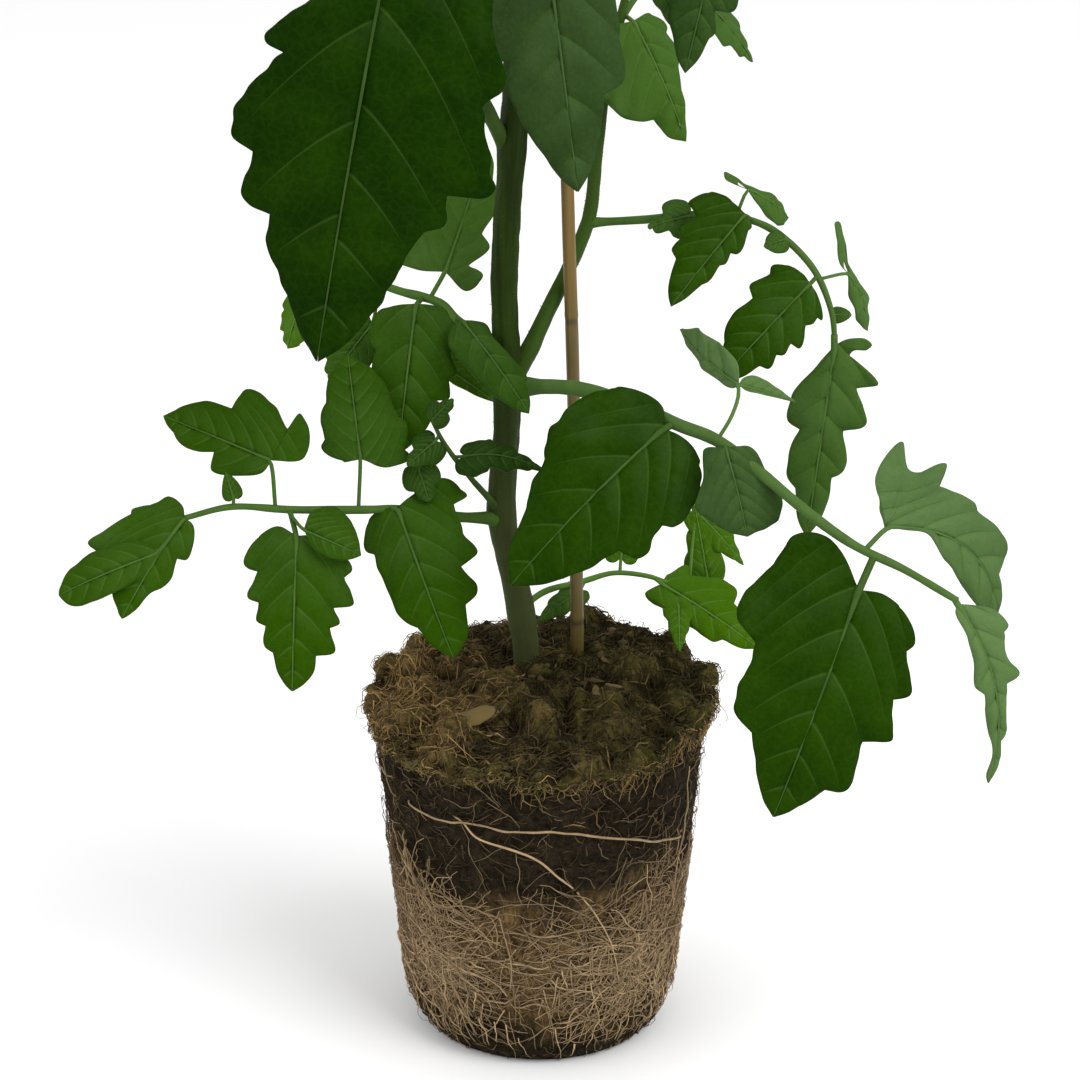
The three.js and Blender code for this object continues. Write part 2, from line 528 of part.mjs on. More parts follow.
// ---------------------------------------------------------------- leaf solids
// A leaf is one body: its stalk, and each leaflet with the small stalk that runs on into its midrib.
// What the stem's hole leaves loose beyond it is left out.
function leafSolid(leaf, number, hole) {
  const stalk = new THREE.CatmullRomCurve3(leaf.path.map(vec), false, "centripetal");
  const samples = stalk.getSpacedPoints(60);
  let solid = solidOf(limb(leaf.path, leaf.radii, 5, 1 + leaf.path.length));
  leaf.leaflets.forEach((one, k) => {
    const surface = surfaceOf(one);
    const base = vec(one.base);
    const chord = vec(one.tip).sub(base);
    const back = base.clone().addScaledVector(chord.clone().normalize(), -3);
    const nearest = samples.reduce((a, b) => (a.distanceTo(back) < b.distanceTo(back) ? a : b));
    const thick = THREE.MathUtils.clamp(chord.length() * 0.02, 0.55, 1.1);
    const start = one.by ?? [nearest.toArray()];
    const foot = [...start, surface(0.02, 0).point.toArray(), surface(0.1, 0).point.toArray()];
    solid = solid.add(solidOf(blade({ ...one, seed: number * 10 + k }, surface)));
    const sides = chord.length() > 18 ? 4 : 3;
    solid = solid.add(solidOf(limb(foot, [thick * 1.2, thick, 0.4], sides, start.length + 1)));
  });
  const bodies = solid.subtract(hole).decompose();
  return bodies.reduce((a, b) => (a.volume() > b.volume() ? a : b));
}

// ---------------------------------------------------------------- root ball
const wall = (z) => lerp(BALL_BASE_RADIUS, BALL_TOP_RADIUS, z / BALL_HEIGHT);

// Hollows in the side, between 0 and 1, from waves that close round the ball.
function hollow(a, z) {
  const w = Math.sin(3 * a + 0.09 * z) + Math.sin(7 * a - 0.13 * z + 1) + Math.sin(11 * a + 0.21 * z + 2);
  return 0.5 + w / 6;
}

// Tufts on the top, from waves across it.
function tuft(x, y) {
  const w = Math.sin(0.31 * x + 0.17 * y) + Math.sin(0.23 * y - 0.29 * x + 1.3) + Math.sin(0.41 * y + 2.1);
  return w / 3;
}

function peatGeometry() {
  const around = 38;
  const rows = [[16, 0], [FLAT_RADIUS, 0], [BALL_BASE_RADIUS - 1.6, 3.4]];
  const points = [new THREE.Vector3(0, 0, 0)];
  for (const [r, z] of rows)
    for (let j = 0; j < around; j++) {
      const a = (2 * Math.PI * j) / around;
      points.push(new THREE.Vector3(r * Math.cos(a), r * Math.sin(a), z));
    }
  const steps = 8;
  for (let i = 0; i < steps; i++)
    for (let j = 0; j < around; j++) {
      const a = (2 * Math.PI * j) / around;
      const z = lerp(9, BALL_HEIGHT - 4, i / (steps - 1));
      const r = wall(z) - LUMP * hollow(a, z);
      points.push(new THREE.Vector3(r * Math.cos(a), r * Math.sin(a), z));
    }
  const rings = [51.6, 48.5, 40, 27, 13];
  rings.forEach((r, i) => {
    for (let j = 0; j < around; j++) {
      const a = (2 * Math.PI * j) / around;
      const far = r + (i === 0 ? 1.5 * Math.sin(5 * a + 1) : 0);
      const x = far * Math.cos(a);
      const y = far * Math.sin(a);
      const rise = MOUND * (1 - (r / rings[0]) ** 3) + TILT * (y + x / 2);
      points.push(new THREE.Vector3(x, y, BALL_HEIGHT + RIM + rise + TUFT * tuft(x, y)));
    }
  });
  points.push(new THREE.Vector3(0, 0, BALL_HEIGHT + RIM + MOUND + TUFT * tuft(0, 0)));
  const rowsAll = 3 + steps + rings.length;
  const triangles = [];
  for (let j = 0; j < around; j++) {
    const k = (j + 1) % around;
    triangles.push(0, 1 + k, 1 + j);
    for (let i = 0; i < rowsAll - 1; i++) {
      const a = 1 + i * around + j;
      const b = 1 + i * around + k;
      triangles.push(a, b, b + around, a, b + around, a + around);
    }
    const top = 1 + (rowsAll - 1) * around;
    triangles.push(top + j, top + k, top + around);
  }
  return geometryFrom(points, triangles);
}

// The roots that show outside run along what was the pot wall: two rings that dip and rise, and runs that
// branch off them. Each is a list of [angle, height], in degrees and millimetres.
const ROOTS = [
  [[200, 86], [212, 82], [226, 80], [242, 80], [261, 80], [277, 80], [296, 76], [318, 70], [345, 66],
    [370, 72], [400, 78], [435, 75], [470, 80], [510, 76], [540, 82], [560, 86]],
  [[214, 58], [227, 50], [243, 53], [268, 46], [292, 47], [312, 42], [334, 36], [360, 32], [395, 41],
    [430, 36], [465, 44], [500, 40], [540, 48], [574, 58]],
  [[203, 90], [209, 76], [214, 60], [207, 45], [210, 30], [222, 16], [232, 10]],
  [[236, 82], [247, 77], [268, 72], [279, 63], [292, 50], [299, 38], [303, 26]],
  [[255, 51], [259, 34], [257, 20], [260, 8]],
  [[330, 90], [333, 72], [331, 52], [335, 30], [330, 14]],
  [[15, 88], [20, 66], [14, 44], [24, 12]],
  [[75, 86], [70, 62], [80, 36], [74, 12]],
  [[128, 87], [134, 60], [126, 34], [132, 10]],
  [[176, 86], [170, 64], [180, 40], [172, 12]],
];
const ROOT_STEP = 10.4; // length of a root's straight pieces

function rootPath(stops) {
  const curve = new THREE.SplineCurve(
    stops.map(([angle, height]) => new THREE.Vector2(radians(angle) * BALL_TOP_RADIUS, height)),
  );
  const count = Math.ceil(curve.getLength() / ROOT_STEP);
  return curve.getSpacedPoints(count).map((p) => {
    const angle = p.x / BALL_TOP_RADIUS;
    const r = wall(p.y) + GAP + ROOT_RADIUS;
    return [r * Math.cos(angle), r * Math.sin(angle), p.y];
  });
}

function rootSolid() {
  return ROOTS.map((stops) => {
    const path = rootPath(stops);
    return solidOf(limb(path, [ROOT_RADIUS, ROOT_RADIUS * 0.9, ROOT_RADIUS * 0.8], 3, path.length - 1));
  }).reduce((a, b) => a.add(b));
}

// ---------------------------------------------------------------- the part
const plant = new THREE.Group();

function place(name, solid, finish) {
  const mesh = new THREE.Mesh(geometryOf(solid), new THREE.MeshStandardMaterial(FINISH[finish]));
  mesh.name = name;
  plant.add(mesh);
}

const stemHole = stemSolid(GAP);
const stakeHole = solidOf(stakeGeometry(GAP));
place("root_ball", solidOf(peatGeometry()).subtract(stemHole).subtract(stakeHole), "peat");
place("root_net", rootSolid(), "root");
place("stem", stemSolid(0), "stem");
place("stake", solidOf(stakeGeometry(0)), "bamboo");
Object.entries(LEAVES).forEach(([name, leaf], number) => {
  place(name, leafSolid(leaf, number + 1, stemHole), "leaf");
});

export default plant;
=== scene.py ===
"""A young tomato plant lifted out of its pot: the looks, laid over the packed solids.

Every shape is worked out in millimetres with +Z up, in the solids' own frame, and is written to Blender
in metres. Each piece takes the place of the solid that it dresses, or adds what is too fine for a solid.
"""

import math

import bpy
import numpy as np
from bpy.props import FloatProperty, FloatVectorProperty, IntProperty, PointerProperty
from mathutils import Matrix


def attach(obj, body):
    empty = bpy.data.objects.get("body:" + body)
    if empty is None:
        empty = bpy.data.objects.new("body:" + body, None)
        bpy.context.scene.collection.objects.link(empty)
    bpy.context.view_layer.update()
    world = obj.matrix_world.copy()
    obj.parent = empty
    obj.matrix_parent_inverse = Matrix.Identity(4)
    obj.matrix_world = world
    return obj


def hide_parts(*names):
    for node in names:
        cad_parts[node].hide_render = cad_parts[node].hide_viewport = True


bl_info = {
    "name": "Tomato plant",
    "version": (1, 0, 0),
    "blender": (4, 5, 0),
    "location": "3D View > Sidebar > Plant",
    "description": "Dresses a young tomato plant with its root ball, stem, leaves and stake",
    "category": "Add Mesh",
}

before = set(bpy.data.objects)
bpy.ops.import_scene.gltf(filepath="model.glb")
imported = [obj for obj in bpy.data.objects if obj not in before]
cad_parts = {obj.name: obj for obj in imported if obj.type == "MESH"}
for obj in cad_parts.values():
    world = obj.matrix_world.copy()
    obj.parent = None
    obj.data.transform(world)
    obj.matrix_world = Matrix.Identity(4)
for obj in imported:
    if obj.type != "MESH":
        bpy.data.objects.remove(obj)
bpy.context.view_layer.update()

MM = 0.001
TAU = 2 * math.pi

# ------------------------------------------------------------------ sizes shared with the solids, in mm
BALL_HEIGHT = 98
BALL_TOP_RADIUS = 49.4
BALL_BASE_RADIUS = 38.4
FLAT_RADIUS = 33.5
RIM = 3
MOUND = 7
TILT = 0.09
LUMP = 1.2
TUFT = 3
GAP = 0.3
ROOT_RADIUS = 0.75
STAKE_RADIUS = 2.1
STEM_RADIUS = 4
RIM_RADIUS = 51.6
NOTCH_PLACE = 0.16  # how far a notch lies along the way to the margin's next point

# ------------------------------------------------------------------ finer shapes, in mm or as shares
STEM_KNOTS = (123, 156, 193, 203, 262, 288, 322, 346)  # heights where stalks leave the stem
STAKE_JOINTS = (118, 211)  # heights of the stake's joints
CUSHIONS = ((9.0, 13, 11), (5.2, 5.5, 15))  # the moss's cushions: height, size and seed
CUSHION_SINK = 3.9  # how far the moss lies low between its cushions
FACING = (0, -0.87, 0.5)  # the way most leaflets look: to the front and up
FULLNESS = 1.06  # a blade's width, against the margin given
TIP_POINT = (0.72, 0.42)  # rounds a tip: how far on to it, and what is left of the last point's width
LAST_TOOTH = 0.86  # how far along a midrib teeth and side veins go
VEIN_SLANT = 0.55  # how far a column of the blade's grid starts behind its end, against how far it runs out
VEIN_LEAN, VEIN_SWEEP = 0.7, 2.0  # how a side vein runs forward, by how far it runs out and by its square
RIB_SHARE, RIB_TIP = 0.42, 0.12  # a midrib's radius at its foot, against its stalk, and at its tip
# The pale mats of roots: the angle, its spread and the height of each.
MATS = np.array([(3.83, 0.17, 33), (5.35, 0.2, 28), (0.9, 0.5, 33)])
MAT_SHARES = (0.45, 0.3, 0.25)  # how the mats share their roots

STEM_PATH = [(-4, 12, 66), (-4, 12, 109), (-5, 11, 119), (-7.5, 10, 135), (-10.2, 9, 148), (-11, 8, 157),
             (-10.4, 8, 169), (-9.4, 8, 182), (-9.8, 8, 210), (-10, 7, 225), (-9.3, 7, 239), (-8.3, 7, 253),
             (-7, 6, 271), (-6, 6, 287), (-5, 6, 304), (-4, 6, 325), (-5, 7, 347), (-5, 8, 367),
             (-6, 8, 388), (-5, 8, 405)]
STEM_RADII = (2.4, STEM_RADIUS, STEM_RADIUS, 3.9, 3.7, 3.6, 3.6, 3.3, 2.6, 1.6, 0.7)
SHOOT_PATH = [(-9, 8, 193), (-3, 11, 203), (1, 14, 211), (10, 22, 228), (14, 26, 238), (16, 29, 256),
              (18, 30, 272), (22, 32, 291), (26, 34, 308), (28, 34, 320)]
SHOOT_RADII = (2.6, 2.2, 1.9, 1.6, 1.2, 0.7)
STAKE_PATH = [(12, 18, 24), (11, 16, 106), (9.6, 14, 187), (7.6, 12, 251), (6.6, 11, 290)]
STAKE_RADII = (STAKE_RADIUS, STAKE_RADIUS, STAKE_RADIUS * 0.97, STAKE_RADIUS * 0.93)


def draw(seed, k):
    """The fractional part of a large multiple of a sine: the same draw for the same two numbers."""
    x = math.sin(seed * 12.9898 + k * 78.233) * 43758.5453
    return x - math.floor(x)


def leaflet(base, tip, face=FACING, left=None, right=None, width=None, depth=0.24, arch=0.07, bend=0.0,
            fold=-0.12, tone=0.35, pale=0.1, by=None):
    """One leaflet: where its midrib starts and ends, the way its upper face looks, its two margins or, for
    the common form, its width, how it bows, its colour from dark to bright and from green to grey, the grey
    partly the paler underside that shows and partly painted sheen, and the points its small stalk starts
    from, where that isn't the nearest point of the leaf's stalk."""
    left, right = ([tuple(x / 100 for x in point) for point in margin or ()] for margin in (left, right))
    return dict(base=np.array(base, float), tip=np.array(tip, float), face=np.array(face, float),
                left=left, right=right, width=width, depth=depth, arch=arch, bend=bend, fold=fold,
                tone=tone, pale=pale, by=by)


# Each leaf: the path and radii of its stalk, and its leaflets. A margin runs from the stalk to the tip as
# (how far along the midrib, how far out from it), in hundredths of the midrib's length. A third number
# makes the point a tooth with a notch after it, and says how many hundredths of the way in the notch cuts.
# A leaflet's pale share is partly the paler underside that shows and partly painted sheen on blades turned
# to the light.
LEAVES = {
    "leaf_right_low": dict(
        path=[(-7, 5, 194), (10, -6, 197), (25, -17, 196), (38, -29, 194), (48, -36, 192),
              (60, -44, 185), (72, -52, 177), (84, -58, 170), (97, -63, 165), (111, -68, 158)],
        radii=(2.3, 1.9, 1.5, 0.9),
        leaflets=[
            leaflet((34, -31, 194), (-8, -52, 156), (-0.15, -0.85, 0.55), tone=0.16, pale=0.03,
                    left=[(-3, 13), (3, 25), (19, 33), (30, 33, 10), (53, 31, 20), (72, 19)],
                    right=[(-7, 8), (-2, 26), (15, 36), (44, 31, 6), (66, 21, 4), (91, 10)]),
            leaflet((54, -27, 205), (39, -2, 213), (0.2, -0.9, -0.2), tone=0.45, pale=0.65,
                    by=[(48, -36, 192), (52, -33, 198), (54, -29, 203)],
                    left=[(4, 6), (18, 9), (40, 11), (72, 7)],
                    right=[(8, 12), (31, 20), (54, 17), (75, 15), (92, 5)]),
            leaflet((54, -27, 205), (70, -24, 199), tone=0.45, pale=0.6, by=[(54, -28, 204)],
                    left=[(5, 12), (15, 19), (53, 15), (86, 5)],
                    right=[(12, 5), (35, 5), (70, 3)]),
            leaflet((50, -42, 192), (56, -49, 169), (0.1, -0.9, 0.4), tone=0.15, pale=0.42,
                    left=[(4, 25), (35, 35), (69, 46), (94, 34)],
                    right=[(-5, 20), (26, 30), (55, 45), (79, 30)]),
            leaflet((85, -65, 160), (62, -88, 104), (0.05, -0.9, 0.45), fold=-0.08, tone=0.16,
                    pale=0.02,
                    left=[(-2, 9), (2, 20), (13, 28, 10), (34, 32, 16), (54, 31, 25), (81, 21, 20),
                          (92, 8)],
                    right=[(-10, 9), (-16, 19), (-14, 28), (0, 34), (29, 40, 20), (68, 26, 16),
                           (86, 12)]),
            leaflet((92, -58, 175), (124, -54, 149), (0.2, -0.9, 0.35), bend=-0.2, fold=0.1, tone=0.34,
                    pale=0.68,
                    left=[(-12, 10), (-24, 21), (-22, 48), (-8, 38), (10, 47, 30), (39, 26, 8),
                          (82, 18, 45), (97, 5)],
                    right=[(13, 2), (23, 2), (45, 14), (67, 18), (85, 15)]),
            leaflet((111, -68, 157), (121, -73, 107), (0.3, -0.9, 0.2), bend=-0.1, fold=0.2, tone=0.42,
                    pale=0.7,
                    left=[(3, 8), (9, 16), (17, 17, 20), (36, 11), (43, 14, 50), (68, 5), (74, 5, 60),
                          (95, 3)],
                    right=[(3, 3), (21, 5), (32, 7), (45, 10, 25), (71, 5), (86, 1.5), (96, 2)]),
        ],
    ),
    "leaf_right_high": dict(
        path=[(14, 26, 236), (30, 22, 238), (45, 16, 241), (58, 11, 241), (66, 8, 238), (76, 3, 229),
              (81, -2, 218), (82, -4, 210)],
        radii=(1.3, 1.1, 0.8),
        leaflets=[
            leaflet((42, 15, 241), (30, 10, 239), width=0.75, depth=0.5, tone=0.3, pale=0.2),
            leaflet((57, 6, 244), (36, -10, 222), tone=0.24, pale=0.03,
                    left=[(5, 10, 10), (32, 14, 25), (46, 12, 15), (67, 10, 10)],
                    right=[(-3, 20), (2, 34), (21, 38, 25), (46, 32, 15), (63, 27, 20), (85, 13)]),
            leaflet((58, 14, 249), (70, 20, 239), (0.5, -0.7, 0.8), tone=0.5, pale=0.2,
                    left=[(-28, -6), (-53, -7), (-56, -1), (-30, 7), (-5, 8), (30, 13), (72, 20)],
                    right=[(10, 8), (31, 18), (71, 28), (93, 17)]),
            leaflet((68, 5, 237), (62, 1, 236), width=0.8, depth=0.1, tone=0.3, pale=0.15),
            leaflet((75, -1, 226), (50, -18, 204), arch=0.04, tone=0.26, pale=0.03,
                    left=[(4, 12), (14, 22, 10), (23, 20, 15), (43, 25, 20), (57, 20, 15),
                          (71, 19, 20)],
                    right=[(-3, 15), (9, 28, 10), (34, 29, 20), (55, 25), (75, 19, 5), (93, 8)]),
            leaflet((86, 6, 227), (93, 16, 207), (0.6, -0.7, 0.3), tone=0.5, pale=0.3,
                    left=[(-20, -6), (-52, 1), (-70, 12), (-66, 18), (-42, 14), (-25, 10), (3, 8),
                          (30, 12), (70, 12, 30)],
                    right=[(30, 12), (70, 12)]),
            leaflet((82, 2, 216), (87, 2, 216), width=0.9, depth=0, tone=0.35, pale=0.2),
            leaflet((82, -4, 209), (75, -12, 155), arch=0.03, tone=0.42, pale=0.22,
                    left=[(-4.5, 8), (-4.5, 15), (-2, 17.5), (0, 16), (2, 9), (4, 8), (7, 12.5),
                          (17, 23, 40), (39, 20, 45), (65, 12, 30), (81, 8)],
                    right=[(13, 8), (29, 17), (43, 16, 30), (57, 14), (73, 12, 20)]),
        ],
    ),
    "leaf_left_low": dict(
        path=[(-13, 6, 154), (-24, -1, 157), (-39, -11, 163), (-50, -17, 165), (-69, -25, 168),
              (-85, -31, 171), (-97, -37, 170)],
        radii=(1.7, 1.3, 1.1, 0.8),
        leaflets=[
            leaflet((-40, -15, 165), (-24, -36, 128), (-0.1, -0.87, 0.5), tone=0.36, pale=0.03,
                    left=[(-6, 15), (-8, 30), (6, 40, 20), (27, 31), (45, 34, 30), (69, 26, 25),
                          (91, 12)],
                    right=[(-3, 12), (8, 24), (17, 26, 12), (48, 22), (72, 17, 12)]),
            leaflet((-50, -14, 179), (-54, 4, 204), tone=0.36, pale=0.06,
                    left=[(0, 14), (16, 32, 12), (50, 28, 10), (80, 18)],
                    right=[(-10, 24), (-1, 42, 10), (28, 42, 10), (68, 28)]),
            leaflet((-67, -32, 163), (-68, -50, 124), arch=0.04, tone=0.38, pale=0.02,
                    left=[(0, 15), (8, 26), (22, 34, 14), (44, 35, 30), (56, 27, 20), (75, 25, 40),
                          (89, 12)],
                    right=[(-6, 12), (1, 23), (20, 31, 26), (41, 28, 20), (56, 22, 20), (73, 17, 20),
                           (91, 8)]),
            leaflet((-65, -33, 165), (-49, -37, 159), tone=0.36, pale=0.03,
                    left=[(-2, 28), (19, 50), (56, 44)],
                    right=[(30, 20), (72, 20)]),
            leaflet((-74, -24, 182), (-104, -18, 193), (-0.1, -0.87, 0.5), arch=0.04, tone=0.4,
                    pale=0.02,
                    left=[(2, 10), (17, 20), (45, 24, 50), (62, 16), (84, 12, 8)],
                    right=[(-24, 12), (-20, 33), (-5, 45, 35), (19, 44), (45, 45, 35), (72, 24)]),
            leaflet((-84, -32, 174), (-86, -31, 181), width=0.66, depth=0, tone=0.4, pale=0.05),
            leaflet((-97, -37, 170), (-113, -56, 148), (-0.1, -0.8, 0.6), tone=0.42, pale=0.02,
                    left=[(1, 7), (13, 16), (31, 19, 28), (53, 18), (71, 10), (90, 5)],
                    right=[(-10, 9), (-11, 21), (-2, 27), (12, 41, 8), (40, 51), (56, 56, 40), (75, 20),
                           (84, 18), (94, 9)]),
            leaflet((-104, -46, 163), (-130, -54, 154), (-0.1, -0.8, 0.6), arch=0.05, tone=0.4,
                    pale=0.04,
                    left=[(2, 10), (24, 15), (47, 18), (70, 18), (85, 17), (97, 9)],
                    right=[(2, 12), (23, 23), (40, 24), (62, 24), (82, 18), (95, 9)]),
        ],
    ),
    "leaf_left_high": dict(
        path=[(-8, 10, 203), (-23, 12, 211), (-28, 16, 215), (-40, 22, 217), (-54, 30, 219),
              (-66, 36, 216)],
        radii=(1.6, 1.3, 0.8),
        leaflets=[
            leaflet((-22, 7, 213), (-3, -10, 191), (0.1, -0.85, 0.55), tone=0.28, pale=0.12,
                    left=[(12, 14), (30, 12), (50, 14), (75, 14, 15)],
                    right=[(0, 10), (11, 20), (32, 20), (60, 18), (82, 11)]),
            leaflet((-27, 24, 222), (-15, 36, 256), (0.1, -0.9, 0.3), tone=0.6, pale=0.15,
                    left=[(-5, 20), (-3, 36, 10), (25, 30, 10), (60, 20, 10)],
                    right=[(-8, 20), (6, 27, 45), (29, 24, 30), (70, 18, 25)]),
            leaflet((-35, 13, 216), (-40, -5, 177), arch=0.04, tone=0.36, pale=0.05,
                    left=[(0, 16), (26, 31, 20), (44, 29, 10), (60, 27, 25), (74, 18)],
                    right=[(2, 10), (6, 22), (30, 24, 10), (50, 21, 10), (69, 16, 10)]),
            leaflet((-66, 36, 214), (-73, 31, 197), (-0.7, -0.5, 0.5), tone=1.1, pale=0,
                    left=[(10, 30), (50, 40, 10), (85, 25)],
                    right=[(10, 35), (45, 50, 10), (78, 38, 20)]),
            leaflet((-48, 26, 206), (-60, 16, 192), width=0.85, tone=0.5, pale=0.1),
            leaflet((-28, 18, 196), (-13, 21, 184), tone=0.75, pale=0,
                    left=[(-10, 23), (12, 43), (49, 38)],
                    right=[(15, 10), (54, 10)]),
            leaflet((-50, 36, 222), (-58, 56, 232), (0.1, 0.7, 0.7), width=0.6, tone=0.5, pale=0.1),
        ],
    ),
    "leaf_base_right": dict(
        path=[(-6, 12, 123), (1, 19, 126), (13, 28, 126), (22, 32, 127), (32, 32, 126), (38, 32, 124),
              (49, 36, 121)],
        radii=(1, 0.8, 0.6),
        leaflets=[
            leaflet((12, 26, 124), (-1, 18, 117), width=0.45, depth=0.1, tone=0.5, pale=0.2),
            leaflet((24, 34, 131), (26, 44, 143), width=0.6, tone=0.95, pale=0),
            leaflet((36, 31, 124), (65, 24, 106), (0.2, -0.85, 0.5), tone=1.05, pale=0,
                    left=[(0, 10), (10, 26, 30), (42, 30), (58, 30, 30), (79, 16)],
                    right=[(-7, 12), (23, 17), (44, 17), (66, 16, 20)]),
            leaflet((50, 38, 123), (46, 48, 144), width=0.42, depth=0.1, tone=0.95, pale=0),
            leaflet((47, 46, 141), (61, 41, 126), (0.3, -0.85, 0.4), width=0.42, depth=0.1, tone=0.95,
                    pale=0),
            leaflet((41, 28, 119), (41, 14, 109), (0, -0.5, 0.9), width=0.45, depth=0.1, tone=0.95,
                    pale=0),
        ],
    ),
    "leaf_front": dict(
        path=[(-9, 8, 262), (-18, -10, 285), (-27, -34, 316), (-33, -54, 336), (-36, -65, 335)],
        radii=(2.2, 1.8, 1.3),
        leaflets=[
            leaflet((-37, -66, 334), (-57, -79, 228), (-0.1, -0.93, 0.3), arch=0.03, tone=0.05, pale=0,
                    left=[(-2, 12), (2, 22), (14, 25), (30, 29, 12), (54, 30, 22), (63, 22, 12),
                          (74, 15), (85, 11)],
                    right=[(4, 5), (10, 10), (17, 15.5), (29, 24, 20), (37, 24), (52, 27, 14),
                           (67, 22, 22), (74, 16), (83, 11)]),
            leaflet((-38, -48, 336), (-74, -44, 340), (-0.2, -0.4, 0.9), width=0.6, tone=0.15,
                    pale=0.1),
            leaflet((-25, -54, 339), (-2, -80, 348), (0.2, -0.4, 0.9), width=0.6, tone=0.12, pale=0.1),
            leaflet((-26, -22, 314), (-44, -18, 326), (-0.2, -0.4, 0.9), width=0.6, tone=0.15,
                    pale=0.1),
        ],
    ),
    "leaf_front_right": dict(
        path=[(-7, 7, 288), (0, -6, 312), (5, -14, 332), (18, -20, 344), (34, -21, 338),
              (44, -21, 322)],
        radii=(1.9, 1.5, 1),
        leaflets=[
            leaflet((1, -18, 328), (10, -35, 261), (0.05, -0.93, 0.3), arch=0.03, tone=0.08, pale=0.45,
                    left=[(-4, 12), (0, 24), (20, 28, 20), (42, 22), (62, 20, 25), (82, 10)],
                    right=[(-4, 14), (6, 28), (30, 31), (46, 28, 30), (59, 20), (70, 17), (86, 10)]),
            leaflet((45, -21, 319), (38, -31, 292), tone=0.1, pale=0.25,
                    left=[(8, 24), (37, 26, 50), (62, 16, 10)],
                    right=[(10, 17), (40, 27), (77, 15)]),
            leaflet((29, -18, 322), (37, -18, 299), width=0.4, depth=0.1, tone=0.25, pale=0.2),
            leaflet((30, -27, 347), (50, -46, 352), (0, -0.25, 1), width=0.6, tone=0.15, pale=0.1),
            leaflet((14, -12, 346), (18, 8, 356), (0, -0.25, 1), width=0.6, tone=0.15, pale=0.1),
        ],
    ),
    "leaf_shoot": dict(
        path=[(21, 32, 290), (27, 38, 298), (34, 41, 303), (42, 40, 300)],
        radii=(1.1, 0.8, 0.6),
        leaflets=[
            leaflet((26, 30, 293), (41, 24, 260), (0.2, -0.87, 0.45), tone=0.55, pale=0.15,
                    left=[(0, 15), (14, 22, 12), (40, 20, 12), (75, 9)],
                    right=[(-3, 19), (15, 34), (35, 44), (72, 26, 35)]),
            leaflet((43, 40, 299), (60, 36, 280), (0.7, -0.5, 0.5), width=0.6, tone=0.4, pale=0.2),
            leaflet((35, 44, 304), (42, 64, 308), (0.1, 0.7, 0.7), width=0.6, tone=0.3, pale=0.2),
        ],
    ),
    "shoot_left": dict(
        path=[(-12, 6, 157), (-21, -5, 172), (-27, -11, 183), (-30, -13, 190)],
        radii=(1.1, 0.8, 0.6),
        leaflets=[
            leaflet((-29, -13, 184), (-37, -17, 178), width=0.8, tone=0.15, pale=0.12),
            leaflet((-30, -13, 190), (-24, -15, 197), width=0.7, tone=0.15, pale=0.12),
            leaflet((-21, -9, 178), (1, -15, 176), (0, -0.6, 0.8), width=0.45, arch=0.16, tone=0.1,
                    pale=0.12),
            leaflet((-34, -12, 176), (-31, -16, 167), width=0.9, tone=0.2, pale=0.12),
        ],
    ),
}

# The main roots: the (angle in degrees, height in mm) points that each runs through on the ball's side.
ROOTS = [
    [(200, 86), (212, 82), (226, 80), (242, 80), (261, 80), (277, 80), (296, 76), (318, 70),
     (345, 66), (370, 72), (400, 78), (435, 75), (470, 80), (510, 76), (540, 82), (560, 86)],
    [(214, 58), (227, 50), (243, 53), (268, 46), (292, 47), (312, 42), (334, 36), (360, 32),
     (395, 41), (430, 36), (465, 44), (500, 40), (540, 48), (574, 58)],
    [(203, 90), (209, 76), (214, 60), (207, 45), (210, 30), (222, 16), (232, 10)],
    [(236, 82), (247, 77), (268, 72), (279, 63), (292, 50), (299, 38), (303, 26)],
    [(255, 51), (259, 34), (257, 20), (260, 8)],
    [(330, 90), (333, 72), (331, 52), (335, 30), (330, 14)],
    [(15, 88), (20, 66), (14, 44), (24, 12)],
    [(75, 86), (70, 62), (80, 36), (74, 12)],
    [(128, 87), (134, 60), (126, 34), (132, 10)],
    [(176, 86), (170, 64), (180, 40), (172, 12)],
]


def crown_leaf(foot, azimuth, length, pairs, rise):
    """A leaf of the crown by rule: its stalk runs out along the azimuth and rises as a sine, with pairs of
    leaflets that stand out and droop, and one more at its end."""
    foot = np.array(foot, float)
    out = np.array([math.cos(math.radians(azimuth)), math.sin(math.radians(azimuth)), 0.0])
    cross = np.array([-out[1], out[0], 0.0])
    bow = 0.72 * math.pi

    def at(far, up, side=0.0):
        return foot + out * far + cross * side + np.array([0, 0, up])

    leaflets = []
    for i in range(pairs):
        t = 0.42 + 0.44 * i / pairs
        size = length * (0.4 - 0.05 * i)
        z = rise * math.sin(bow * t)
        for side in (1, -1):
            base = at(length * t + 1, z + 1, side * 3.2)
            tip = at(length * t + size * 0.45, z - size * 0.22, side * (3 + size * 0.8))
            leaflets.append(leaflet(base, tip, (out[0] * 0.3, out[1] * 0.3, 1), width=0.56, tone=0.2))
    end = at(length, rise * math.sin(bow))
    far = at(length * 1.5, rise * math.sin(bow) - length * 0.22)
    leaflets.append(leaflet(end, far, (out[0] * 0.5, out[1] * 0.5, 1), width=0.58, tone=0.2))
    path = [at(length * t, rise * math.sin(bow * t)) for t in (0, 0.25, 0.5, 0.75, 1)]
    return dict(path=path, radii=(length * 0.017 + 0.35, length * 0.011 + 0.3, 0.55), leaflets=leaflets)


LEAVES |= {
    "leaf_crown_1": crown_leaf((-4, 7, 322), 62, 62, 2, 34),
    "leaf_crown_2": crown_leaf((-5, 7, 346), 176, 56, 2, 32),
    "leaf_crown_3": crown_leaf((-5, 8, 366), -62, 42, 1, 30),
    "leaf_crown_4": crown_leaf((-5, 8, 382), 100, 32, 1, 26),
    "leaf_crown_5": crown_leaf((-5, 8, 394), -150, 24, 1, 22),
    "leaf_crown_6": crown_leaf((-5, 8, 400), 5, 17, 1, 18),
}


